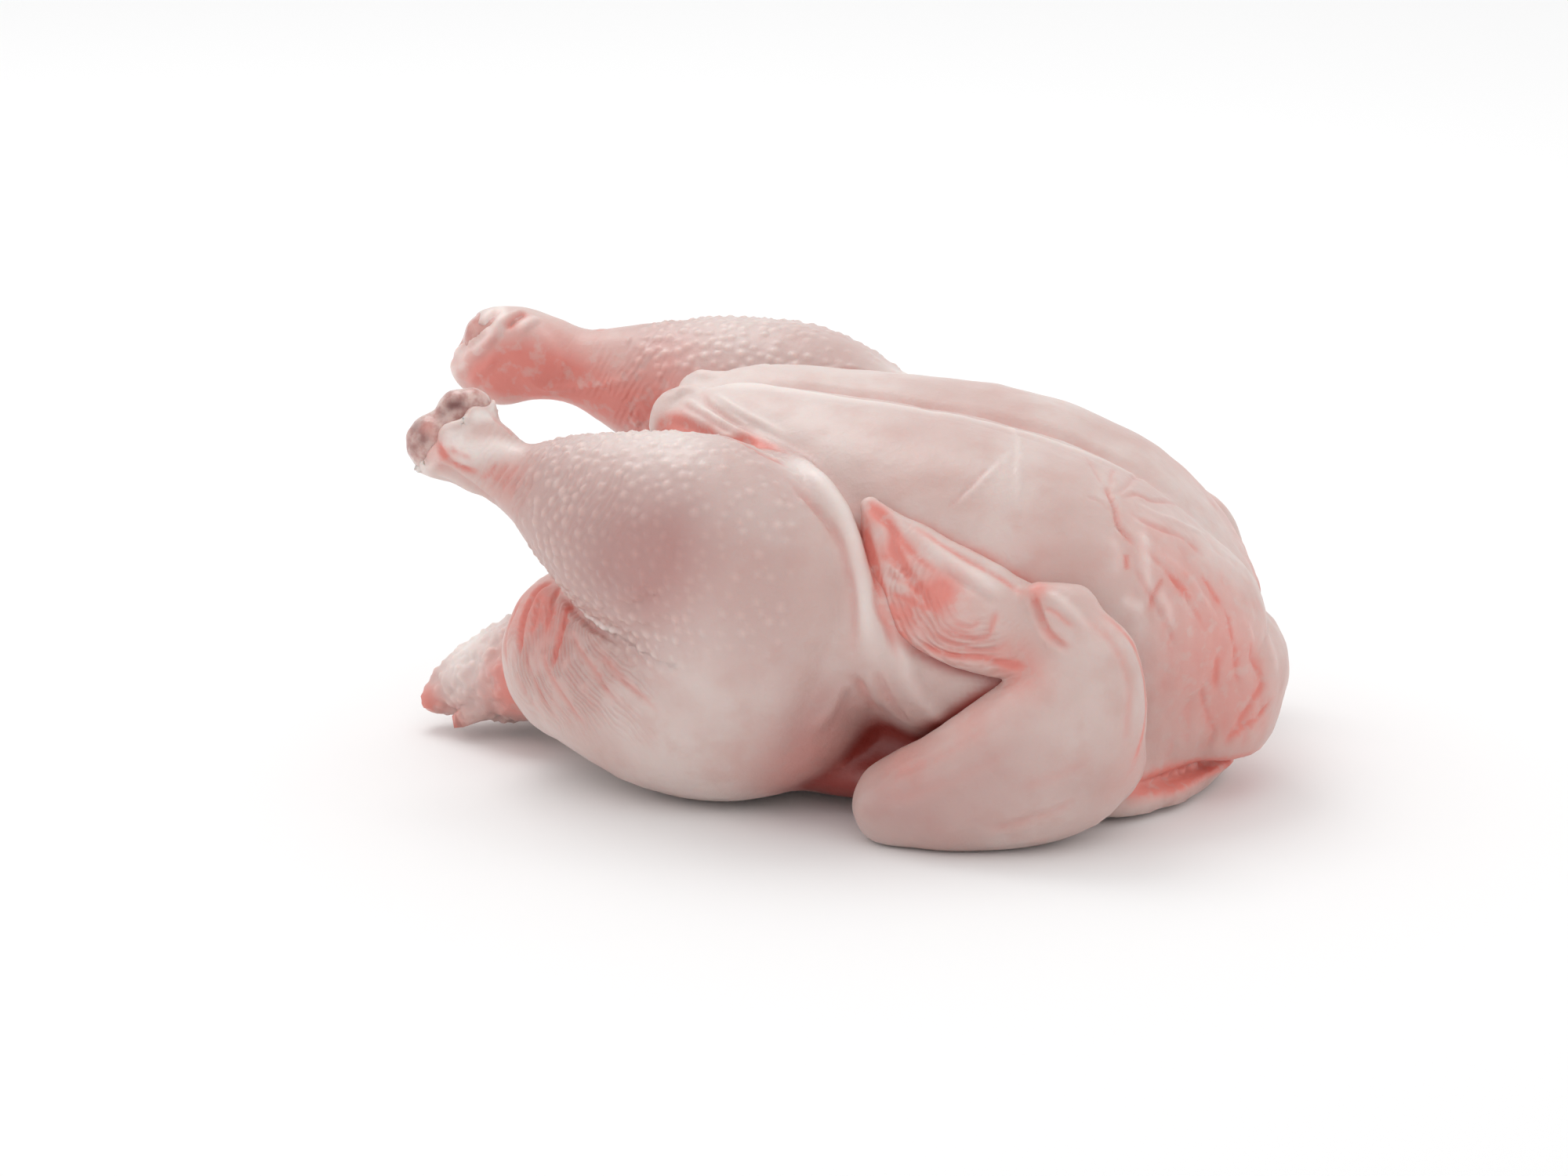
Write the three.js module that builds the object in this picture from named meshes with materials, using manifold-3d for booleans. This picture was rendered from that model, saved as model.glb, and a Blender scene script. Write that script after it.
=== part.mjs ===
// A whole raw chicken, ready for the oven, lying on its back with its legs free.
// Millimetres. +X runs from the tail to the neck, +Z up, and the bird's left side faces -Y.
// Each form is a capsule bent along a middle line: limbs, breast and trunk are joined to one
// solid, then the body cavity, the neck slit and the flat that the bird rests on are cut.

import * as THREE from "three";
import { mergeVertices } from "three/addons/utils/BufferGeometryUtils.js";
import Module from "manifold-3d";

// The middle of the bird's length, which is put over the origin.
const MIDDLE_X = -4.54;

// Facets round a form of the given half width, and rings along each gap between stations.
const FACET_WIDTH = 10;
const FEWEST_FACETS = 10;
const MOST_FACETS = 30;
const RINGS_PER_GAP = 2;
const CAP_RINGS = 3;

// The block under the table that cuts the flat which the bird rests on.
const TABLE_BLOCK = 400;

const SKIN_COLOUR = 0xd9b9ae;
const SKIN_ROUGHNESS = 0.5;

// Stations along each form's middle line: x, y, z, half width, half height.
// Forms off the middle are given for the left side, and the right side mirrors them.

const TRUNK = [
  [-84, 0, 24, 20, 12],
  [-62, 0, 34, 34, 26],
  [-30, 0, 42, 46, 34],
  [0, 0, 45, 56, 38],
  [38, 0, 43, 60, 37],
  [66, 0, 37, 52, 32],
  [82, 0, 33, 38, 27],
  [90, 0, 31, 28, 22],
  [94.5, 0, 29, 18, 16.5],
];

const BREAST = [
  [-43, -7, 86, 10, 8],
  [-28, -11, 83, 16, 16],
  [0, -16, 73, 28, 24],
  [32, -19, 66, 35, 27],
  [60, -18, 55.5, 34, 27],
  [77, -15, 43.5, 28.5, 24.5],
  [88, -11, 37, 21, 21],
  [93, -8, 32, 14, 15],
];

const BACK = [
  [-56, 0, 19, 30, 13],
  [-20, 0, 11, 46, 13],
  [16, 0, 10, 57, 13],
  [54, 0, 10, 56, 13],
  [76, 0, 10, 44, 12],
];

const NECK_LIP = [
  [60, 0, 8, 46, 8],
  [78, 0, 7, 42, 7],
  [88, 0, 6, 30, 6],
  [93, 0, 5, 18, 4],
];

const NECK_SLIT = [
  [80, -56, 15, 3, 2],
  [91, -36, 14, 6, 2],
  [101, -14, 13, 9, 2.2],
  [104, 0, 12.5, 10, 2.2],
  [101, 14, 13, 9, 2.2],
  [91, 36, 14, 6, 2],
  [80, 56, 15, 3, 2],
];

// The band of loose skin from the vent round the thigh to the wing.
const SKIN_FOLD = [
  [-40, -12, 87, 5, 4],
  [-18, -26, 88, 5, 4],
  [4, -43, 80, 6, 5],
  [14, -53, 66, 6, 5],
  [21, -58, 48, 6, 6],
  [29, -58, 28, 6, 6],
];

const LEFT_DRUMSTICK = [
  [-90, -42, 85, 9, 9.5],
  [-84, -44, 82, 8.5, 8.5],
  [-76, -46, 79.5, 9, 8.5],
  [-64, -48, 76, 14, 15.5],
  [-46, -52, 70.5, 21, 24],
  [-24, -54, 65, 25, 30],
  [-4, -53, 59, 24, 29],
  [6, -50, 54, 19, 23],
];

const LEFT_HOCK_KNOBS = [
  [
    [-96, -41, 91, 7, 7],
    [-90, -40, 93, 7, 7],
  ],
  [
    [-98, -44, 84, 6.5, 7],
    [-95, -43, 86, 7, 7],
  ],
];

const RIGHT_DRUMSTICK = [
  [-106, 42, 90, 11, 11.5],
  [-96, 43, 89, 11.5, 11.5],
  [-85, 44, 86.5, 10.5, 10.5],
  [-70, 46, 83.5, 15, 16],
  [-50, 48, 78.5, 21, 24],
  [-28, 50, 71, 25, 28.5],
  [-6, 49, 60, 24, 27],
  [6, 47, 54, 18, 22],
];

const RIGHT_HOCK_KNOBS = [
  [
    [-110, 41, 94, 8, 7],
    [-103, 41, 95, 8, 7],
  ],
  [
    [-113, 41, 87, 7, 7],
    [-106, 42, 84, 7, 7],
  ],
];

const THIGH = [
  [4, -46, 44, 18, 24],
  [-8, -49, 36, 24, 30],
  [-26, -48, 29, 26, 28.5],
  [-46, -42, 30, 24, 26],
  [-61, -36, 31, 19, 22],
];

const TAIL = [
  [-76, 0, 22, 26, 17],
  [-90, -2, 15, 20, 13.5],
  [-102, -4, 12.5, 12, 9],
  [-112, -6, 8, 5, 4],
];

const CAVITY = [
  [-84, 0, 60, 24, 24],
  [-58, 0, 60, 24, 25],
  [-34, 0, 58, 22, 23],
  [-6, 0, 54, 18, 18],
  [14, 0, 52, 10, 10],
];

// The wing, folded against the side: the elbow rests on the table behind the thigh.
const FOREARM = [
  [31, -69, 13, 13, 12],
  [46, -70, 21, 13, 11.5],
  [62, -69, 30.5, 13, 11],
  [74, -65, 44, 10, 9],
];

const UPPER_ARM = [
  [34, -66, 12, 13, 12],
  [52, -65, 13, 14, 13],
  [68, -60, 16, 15, 14],
  [76, -54, 20, 14, 14],
];

// The muscle between the two arm bones, level with them.
const ARM_MUSCLE = [
  [40, -69, 14, 12, 12],
  [58, -68, 23, 14, 12],
  [71, -64, 33, 12, 11],
];

// The skin stretched from the wrist to the shoulder.
const WING_WEB = [
  [70, -64, 56, 7, 6],
  [77, -63, 48, 8, 7],
  [79, -62, 34, 8, 8],
  [76, -56, 20, 8, 9],
];

const HAND = [
  [70, -62, 55, 9, 7],
  [60, -62, 53, 11.5, 7],
  [47, -61.5, 56, 13.5, 6],
  [35, -60, 61, 13.5, 5.5],
  [26, -57, 69, 9.5, 4.5],
  [19, -54, 78, 5, 3.5],
  [16, -52.5, 82, 3, 3],
];

const WRIST = [
  [62, -62, 61, 5, 5],
  [70, -62, 60, 6, 6],
];

const WING_FORMS = [FOREARM, UPPER_ARM, ARM_MUSCLE, WING_WEB, HAND, WRIST];

// The directions that a form's half height points to.
const UP = [0, 0, 1];
const WING_FACING = [0, -0.85, 0.5];

const wasm = await Module();
wasm.setup();

const mirrored = (rows) => rows.map(([x, y, ...rest]) => [x, -y, ...rest]);
const mirroredVector = ([x, y, z]) => [x, -y, z];

function facetsRound(rows) {
  const widest = Math.max(...rows.flatMap((row) => row.slice(3)));
  const wanted = Math.round((2 * Math.PI * widest) / FACET_WIDTH);
  return Math.min(MOST_FACETS, Math.max(FEWEST_FACETS, wanted));
}

function smoothCurve(points) {
  return new THREE.CatmullRomCurve3(points, false, "catmullrom");
}

// A capsule whose straight middle follows the stations and whose round ends are ellipsoids.
function bentCapsule(rows, up) {
  const gaps = rows.length - 1;
  const spine = smoothCurve(rows.map(([x, y, z]) => new THREE.Vector3(x, y, z)));
  const girth = smoothCurve(rows.map(([, , , width, height]) => new THREE.Vector3(width, height, 0)));
  const upward = new THREE.Vector3(...up);
  const capsule = new THREE.CapsuleGeometry(1, gaps, CAP_RINGS, facetsRound(rows), gaps * RINGS_PER_GAP);
  const place = capsule.getAttribute("position");
  const corner = new THREE.Vector3();
  for (let i = 0; i < place.count; i++) {
    corner.fromBufferAttribute(place, i);
    const station = corner.y + gaps / 2;
    const along = Math.min(1, Math.max(0, station / gaps));
    const pastEnd = station - along * gaps;
    const section = girth.getPoint(along);
    const forward = spine.getTangent(along);
    const sideways = new THREE.Vector3().crossVectors(upward, forward).normalize();
    const rise = new THREE.Vector3().crossVectors(forward, sideways);
    const point = spine.getPoint(along);
    point.addScaledVector(sideways, -corner.x * section.x);
    point.addScaledVector(rise, corner.z * section.y);
    point.addScaledVector(forward, pastEnd * Math.min(section.x, section.y));
    place.setXYZ(i, point.x, point.y, point.z);
  }
  return capsule;
}

// A closed solid from a geometry: its doubled corners are merged and its empty facets left out.
function solid(geometry) {
  const bare = new THREE.BufferGeometry();
  bare.setAttribute("position", geometry.getAttribute("position"));
  bare.setIndex(geometry.getIndex());
  const merged = mergeVertices(bare, 1e-3);
  const corners = merged.getIndex().array;
  const facets = [];
  for (let i = 0; i < corners.length; i += 3) {
    const [a, b, c] = corners.slice(i, i + 3);
    if (a !== b && b !== c && c !== a) facets.push(a, b, c);
  }
  return new wasm.Manifold(
    new wasm.Mesh({
      numProp: 3,
      vertProperties: new Float32Array(merged.getAttribute("position").array),
      triVerts: new Uint32Array(facets),
    }),
  );
}

const form = (rows, up = UP) => solid(bentCapsule(rows, up));
const joined = (...solids) => solids.reduce((whole, piece) => whole.add(piece));

function trunk() {
  const body = joined(form(TRUNK), form(BREAST), form(mirrored(BREAST)), form(BACK), form(NECK_LIP));
  return body.subtract(form(NECK_SLIT));
}

function leg(drumstick, knobs, thigh) {
  return joined(form(drumstick), ...knobs.map((rows) => form(rows)), form(thigh));
}

function wing(side, facing) {
  return joined(...WING_FORMS.map((rows) => form(side(rows), facing)));
}

function chickenSolid() {
  const table = new THREE.BoxGeometry(TABLE_BLOCK, TABLE_BLOCK, TABLE_BLOCK);
  table.translate(0, 0, -TABLE_BLOCK / 2);
  const body = joined(
    trunk(),
    form(SKIN_FOLD),
    form(mirrored(SKIN_FOLD)),
    leg(LEFT_DRUMSTICK, LEFT_HOCK_KNOBS, THIGH),
    leg(RIGHT_DRUMSTICK, RIGHT_HOCK_KNOBS, mirrored(THIGH)),
    form(TAIL),
  ).subtract(form(CAVITY));
  const leftWing = wing((rows) => rows, WING_FACING);
  const rightWing = wing(mirrored, mirroredVector(WING_FACING));
  return joined(body, leftWing, rightWing).subtract(solid(table));
}

function geometryOf(piece) {
  const mesh = piece.getMesh();
  const geometry = new THREE.BufferGeometry();
  geometry.setAttribute("position", new THREE.BufferAttribute(new Float32Array(mesh.vertProperties), 3));
  geometry.setIndex(new THREE.BufferAttribute(new Uint32Array(mesh.triVerts), 1));
  geometry.translate(-MIDDLE_X, 0, 0);
  geometry.computeVertexNormals();
  return geometry;
}

const skin = new THREE.MeshStandardMaterial({
  name: "skin",
  color: SKIN_COLOUR,
  roughness: SKIN_ROUGHNESS,
  metalness: 0,
});

const chicken = new THREE.Mesh(geometryOf(chickenSolid()), skin);
chicken.name = "chicken";

const bird = new THREE.Group();
bird.add(chicken);

export default bird;
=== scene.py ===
"""A whole raw chicken, ready for the oven, lying on its back on a pale table with its legs free.

Lengths in the tables are millimetres, in the frame in which the stations were laid out.
The skin, the two folded wings and the cartilage at the hocks are separate closed pieces of one body.
"""

import math
from concurrent.futures import ThreadPoolExecutor
from functools import partial

import bmesh
import bpy
import numpy as np
from mathutils import Matrix, Vector, noise


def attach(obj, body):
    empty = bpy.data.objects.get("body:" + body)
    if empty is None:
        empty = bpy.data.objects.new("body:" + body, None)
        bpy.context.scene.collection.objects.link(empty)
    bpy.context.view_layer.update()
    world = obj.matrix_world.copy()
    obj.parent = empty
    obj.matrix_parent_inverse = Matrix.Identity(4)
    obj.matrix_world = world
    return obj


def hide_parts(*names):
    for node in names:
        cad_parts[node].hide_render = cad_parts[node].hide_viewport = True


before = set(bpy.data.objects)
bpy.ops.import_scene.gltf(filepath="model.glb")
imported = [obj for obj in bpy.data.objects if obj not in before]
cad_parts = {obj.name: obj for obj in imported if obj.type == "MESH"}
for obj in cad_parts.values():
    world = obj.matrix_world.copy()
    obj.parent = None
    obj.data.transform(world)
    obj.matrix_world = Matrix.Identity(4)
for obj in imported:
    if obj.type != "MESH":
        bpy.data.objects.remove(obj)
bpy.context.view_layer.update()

# The middle of the bird's length, which lies over the origin, and a millimetre.
MIDDLE_X = -4.54
MM = 0.001

# Spacing of the net that a piece's surface is first caught in, before it is refined.
SKIN_NET = 3.2
WING_NET = 1.5
HOCK_NET = 0.9
# A first search for the surface has cells this many times wider, and only the net's places that
# are within this many wide cells of it are worked out closely.
WIDER = 3
SEARCH_BAND = 2.2
# Two corners of the box in which the skin lies, and the room round a smaller piece's forms.
SKIN_BOX = ((-130, -95, -5), (122, 95, 110))
BOX_ROOM = 3
# The places are shared out in this many parts among this many threads.
PARTS = 48
THREADS = 4

# Uneven swells of each piece: how wide, how high, and which pattern of them.
SKIN_SWELLS = [(34, 0.9, 1), (13, 0.4, 2), (5, 0.18, 3)]
WING_SWELLS = [(22, 0.7, 21), (9, 0.35, 22), (3.5, 0.15, 23)]
HOCK_SWELLS = [(7, 0.5, 51), (3, 0.35, 52)]

# Stations along each form's middle line: x, y, z, half width, half height.
# Forms off the middle are given for the left side, and the right side mirrors them.
TRUNK = [
    (-82, 0, 22, 18, 10), (-62, 0, 34, 34, 26), (-30, 0, 42, 46, 34),
    (0, 0, 45, 56, 38), (38, 0, 43, 60, 37), (66, 0, 37, 52, 32),
    (82, 0, 33, 38, 27), (90, 0, 31, 28, 22), (94.5, 0, 29, 18, 16.5),
]
LEFT_BREAST = [
    (-43, -7, 86, 10, 8), (-28, -11, 83, 16, 16), (0, -16, 73, 28, 24),
    (32, -19, 66, 35, 27), (60, -17, 56.5, 34, 28), (77, -13, 46, 29, 26),
    (88, -8, 39, 22, 22), (93, -5, 33, 15, 15),
]
RIGHT_BREAST = [
    (-43, 7, 86, 10, 8), (-28, 11, 83, 16, 16), (0, 16, 73, 28, 24),
    (32, 19, 66, 35.5, 27.5), (58, 18, 56, 35, 28), (74, 16, 44, 30.5, 25.5),
    (83, 13, 36, 23, 21), (87, 11, 30, 15, 14),
]
# The fullness under the neck skin, in front of the slit.
CROP = [(76, -3, 24, 34, 16), (90, -3, 20, 26, 13.5), (97, -3, 17, 19, 11)]
BACK = [
    (-56, 0, 19, 30, 13), (-20, 0, 11, 46, 13), (16, 0, 10, 57, 13),
    (54, 0, 10, 56, 13), (76, 0, 10, 44, 12),
]
NECK_LIP = [(60, 0, 7, 46, 8), (76, -3, 5.5, 46, 8), (84, -4.5, 4.5, 41, 7), (90, -5, 4.5, 29, 5.5)]
NECK_SLIT = [
    (80, -54, 10.5, 4, 1.4), (90, -36, 9, 7, 1.5), (99, -16, 8.5, 9, 1.6), (102, 0, 8.5, 10, 1.6),
    (100, 14, 9, 9, 1.6), (91, 36, 10, 6, 1.6), (80, 56, 11.5, 3, 1.6),
]
# The band of loose skin from the vent over the knee, and down beside the wing.
SKIN_FOLD = [
    (-44, -13, 86.5, 3.6, 3.6), (-31, -21.5, 87.3, 4.5, 4.5), (-18, -32, 85.6, 4.5, 4),
    (-6, -41.5, 84.4, 4.2, 4), (1, -49.5, 84, 4, 4), (6.5, -55, 81.5, 4, 4), (11.5, -58.5, 76, 4, 4),
    (14.5, -62, 69.5, 4, 4), (17.3, -63.6, 61, 4, 4), (20.3, -64.2, 51, 4.6, 4.4),
    (24.5, -61.5, 42, 6, 5), (31, -57, 32, 8, 5),
]
# The thin cut edge of the skin over the vent.
VENT_EDGE = [
    (-38, -9, 94.6, 1.6, 1.6), (-43, -9, 94.6, 1.8, 1.8), (-46.8, -11, 92, 1.8, 1.8),
    (-47.2, -13, 88, 1.8, 1.8), (-46.2, -15, 83.5, 1.8, 1.8),
]
# The skin that is stretched from the fold to the wing, under the hand.
SKIN_WEB = [(23, -60, 55, 6, 6), (31, -59.5, 47, 7, 8), (41, -59, 41, 7, 8), (51, -58.5, 38, 6, 7)]
LEFT_DRUMSTICK = [
    (-90, -42, 85.5, 9, 10), (-84, -44, 83.3, 8.5, 9.9), (-76, -46, 79.7, 9, 8.8),
    (-64, -48, 76, 14, 15.5), (-46, -52, 70.5, 21, 24), (-24, -54, 64.7, 25, 29.7),
    (-4, -53, 57, 24, 27), (6, -50, 53.5, 19, 22),
]
LEFT_HOCK = [
    [(-91.5, -41, 93.5, 6, 6.2), (-88.8, -40, 94.8, 5, 5.4)],
    [(-98, -44, 86, 6.5, 7.4), (-95, -43, 87, 6.5, 7)],
]
# The skin reaches over a hock as far as a rim: a place on it and the direction in which it faces.
LEFT_RIM = ((-91, -47, 90.5), (-0.66, 0.03, 0.75))
RIGHT_RIM = ((-114, 38, 96), (-0.8, -0.3, 0.52))
RIGHT_DRUMSTICK = [
    (-106, 42, 90, 11, 11.5), (-96, 43, 89, 11.5, 11.5), (-85, 44, 86.5, 10.5, 10.5),
    (-70, 46, 83.5, 15, 16), (-50, 48, 78.5, 21, 24), (-28, 50, 71, 25, 28.5),
    (-6, 49, 60, 24, 27), (6, 47, 54, 18, 22),
]
RIGHT_HOCK = [
    [(-110, 41, 94, 8, 7), (-103, 41, 95, 8, 7)],
    [(-113, 41, 87, 7, 7), (-106, 42, 84, 7, 7)],
]
THIGH = [
    (4, -46, 44, 18, 24), (-8, -49, 36, 24, 30), (-26, -48, 29, 26, 28.5),
    (-46, -42, 30, 24, 26), (-62.5, -36, 31.5, 19.5, 22.5),
]
TAIL = [(-74, 0, 20, 25, 15), (-90, -2, 16.5, 20, 13), (-101, -4, 13, 12, 9.5), (-110, -6, 8.5, 4.5, 4.2)]
TAIL_FLAP = [(-97, -12, 8, 4.5, 3), (-103, -14, 4.5, 2.6, 1.6), (-106.5, -15, 3.2, 1, 0.8)]
CAVITY = [
    (-84, 0, 60, 24, 24), (-58, 0, 60, 24, 25), (-34, 0, 58, 22, 23),
    (-6, 0, 54, 18, 18), (14, 0, 52, 10, 10),
]
FOREARM = [(28, -69, 9, 9, 11), (44, -70, 17, 11, 11.5), (62, -69, 30, 12.5, 11), (74, -65, 44, 10, 9)]
UPPER_ARM = [
    (33, -66, 9, 9, 11), (52, -65, 12, 13.5, 13), (66, -60, 16, 14.5, 14), (73, -54, 20, 12.5, 13),
]
ARM_MUSCLE = [(42, -69, 12, 10, 12), (58, -68, 22.5, 13.5, 12), (71, -64, 33, 12, 11)]
WING_WEB = [(70, -64, 56, 7, 6), (77, -63, 48, 8, 7), (78.5, -62, 34, 8, 8), (74, -56, 20, 7, 8)]
HAND = [
    (70, -62, 55, 9, 7), (60, -62, 53, 11.5, 7), (47, -61.5, 56, 13.5, 6),
    (35, -60, 61, 13.5, 5.5), (26, -57, 69, 9.5, 4.5), (20, -54.5, 76, 4.6, 3.2),
    (17.3, -53.2, 79.6, 2.3, 2.2),
]
WRIST = [(62, -62, 61, 5, 5), (70, -62, 60, 6, 6)]

# The directions that a form's half height points to.
UP = (0, 0, 1)
WING_FACING = (0, -0.85, 0.5)

# Lines in the skin: the points that one passes, how wide it is, how high it stands (less than
# nothing for a crease), how raw it looks and how pale. The right side mirrors these.
SKIN_LINES = [
    # under the loose skin at the vent
    ([(-49, -15, 88.5), (-39, -19, 88.4), (-31.5, -24, 88), (-26, -28, 86.8), (-18, -33, 86.3),
      (-5, -42, 85)], 1.3, -1.2, 1.8, 0),
    ([(-48, -16, 86), (-42, -19, 86.5), (-35, -22, 86.5)], 1.8, -0.3, 1.2, 0),
    # folds in it, and along the band over the knee
    ([(-43, -11, 94), (-37, -17, 93), (-30, -24, 92), (-19, -32, 91), (-8, -39, 89)], 0.8, 0.7, 0, 0.5),
    ([(-42, -14, 93), (-36, -19, 92), (-29, -26, 91), (-20, -33, 90)], 0.6, -0.5, 0.3, 0),
    ([(-38, -9, 95), (-33, -19, 94), (-28, -24, 93), (-19, -31, 91), (-11, -38, 89), (-3, -43, 88)],
     0.6, -0.6, 0.35, 0),
    ([(-33, -14, 96), (-27, -20, 94), (-18, -27, 93), (-8, -34, 91)], 0.7, 0.5, 0, 0.4),
    ([(-3, -41, 89), (4, -44, 87), (9, -48, 84)], 0.6, -0.5, 0.3, 0),
    ([(-4, -42, 88), (2, -51, 88), (7, -56, 85), (13, -60, 78), (16, -63, 71), (18, -65, 62),
      (21, -67, 51), (24, -66, 43)], 1.6, 0.3, 0, 0.75),
    ([(-3, -58, 90), (3, -62, 86), (8, -64, 81), (13, -66, 74), (16, -66, 64), (18, -68, 53),
      (19, -67, 41)], 0.8, -0.7, 0.35, 0),
    ([(11, -55, 81), (16, -60, 72), (20, -63, 61), (23, -65, 50), (27, -64, 42)], 0.7, -0.5, 0.5, 0),
    # where it spreads between thigh and wing
    ([(26, -66, 50), (29, -63, 44), (34, -60, 38), (40, -58, 34)], 1.7, 0.9, 0, 0.25),
    ([(23, -67, 45), (25, -66, 40), (28, -63, 34), (31, -60, 29)], 1.0, -0.8, 0.2, 0),
    ([(17, -67, 43), (19, -67, 38), (20, -65, 32), (21, -62, 26)], 0.9, -0.7, 0.3, 0),
    ([(14, -67, 42), (13, -67, 36), (11, -68, 30), (7, -69, 24)], 1.4, 0.5, 0, 0.1),
    # the gathered skin of the neck
    ([(100, -21, 15), (102, -20, 19), (105, -18, 24), (107, -17, 28), (109, -14, 32)], 0.6, -0.5, 0.7, 0),
    ([(101, -21, 18), (104, -18, 20), (108, -14, 23), (111, -10, 27)], 0.5, -0.5, 0.8, 0),
    ([(106, -19, 44), (107, -18, 38), (108, -15, 31), (107, -17, 26)], 0.6, -0.35, 0.45, 0),
    ([(102, -23, 44), (103, -22, 38), (104, -20, 31)], 0.5, -0.3, 0.4, 0),
    ([(104, -20, 50), (105, -19, 46), (106, -17, 41)], 0.6, 0.35, 0, 0.3),
    ([(109, -10, 46), (110, -11, 39), (110, -11, 32)], 0.7, 0.4, 0, 0.4),
    ([(98, -27, 42), (99, -26, 36), (100, -25, 29)], 0.6, -0.3, 0.35, 0),
    ([(100, -24, 52), (101, -24, 47), (102, -23, 42)], 0.5, -0.25, 0.4, 0),
    ([(96, -30, 34), (98, -28, 27), (99, -26, 20), (98, -27, 14)], 0.6, -0.3, 0.3, 0),
    # folds behind the thigh
    ([(-66, -43, 52), (-70, -44, 50), (-72, -47, 45), (-73, -51, 39), (-73, -53, 34)], 0.6, -0.9, 1.2, 0),
    ([(-64, -45, 52), (-65, -49, 49), (-65, -52, 46), (-66, -55, 41)], 0.5, -0.6, 1.0, 0),
    ([(-60, -50, 51), (-60, -54, 47), (-61, -57, 43), (-62, -59, 38), (-63, -60, 33)], 0.6, -0.8, 1.2, 0),
    ([(-74, -41, 47), (-77, -44, 42), (-78, -46, 36), (-76, -49, 29)], 0.6, -0.4, 0.5, 0),
    ([(-69, -46, 50), (-69, -50, 45), (-70, -53, 40)], 0.5, -0.4, 0.6, 0),
    # the edge of the drumstick over the thigh, and the fold over the knee
    ([(-67, -43, 53), (-60, -52, 51), (-54, -58, 49), (-47, -64, 47), (-40, -69, 45)], 0.8, 0.7, 0, 0.9),
    ([(-64, -46, 51), (-58, -54, 48), (-52, -60, 46), (-45, -66, 44)], 0.7, -1.0, 0.35, 0),
    ([(-41, -73, 56), (-35, -76, 57), (-31, -78, 60), (-24, -79, 65)], 1.6, -0.9, 0.05, 0),
    ([(-36, -73, 50), (-29, -77, 52), (-22, -79, 57)], 1.2, -0.4, 0.05, 0),
    # the skin drawn over the hock
    ([(-92, -49, 88), (-88, -51, 87), (-82, -52, 87), (-76, -51, 88), (-70, -51, 89)], 2.0, 0.8, 0, 0.9),
    ([(-94, -50, 89), (-93, -50, 86), (-90, -51, 83), (-86, -53, 82), (-82, -54, 82)], 0.6, -0.6, 0.9, 0),
    ([(-78, -53, 85), (-80, -54, 82), (-83, -54, 79)], 0.5, -0.35, 0.5, 0),
    ([(-75, -54, 86), (-77, -55, 82), (-81, -55, 77)], 0.5, -0.35, 0.3, 0),
    ([(-72, -55, 86), (-74, -56, 82), (-78, -56, 76)], 0.5, -0.35, 0.35, 0),
    ([(-69, -56, 87), (-71, -57, 82), (-75, -58, 75)], 0.5, -0.3, 0.25, 0),
    ([(-66, -58, 86), (-68, -60, 80), (-71, -60, 74)], 0.5, -0.25, 0.15, 0),
    ([(-97, -50, 83), (-92, -51, 81), (-88, -51, 79), (-82, -51, 76), (-76, -53, 73)], 0.8, -0.7, 0.2, 0),
    ([(-96, -50, 80), (-90, -50, 77), (-84, -50, 74)], 0.6, 0.4, 0, 0.3),
    ([(-94, -49, 91), (-92, -49, 92), (-89, -49, 94), (-86, -48, 96)], 0.6, 0.4, 0, 0.6),
    ([(-91, -51, 87), (-88, -52, 86), (-84, -53, 85)], 0.5, -0.3, 0.5, 0),
    ([(-84, -44, 92), (-80, -44, 90), (-77, -45, 88)], 0.6, -0.3, 0.4, 0),
]
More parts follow.
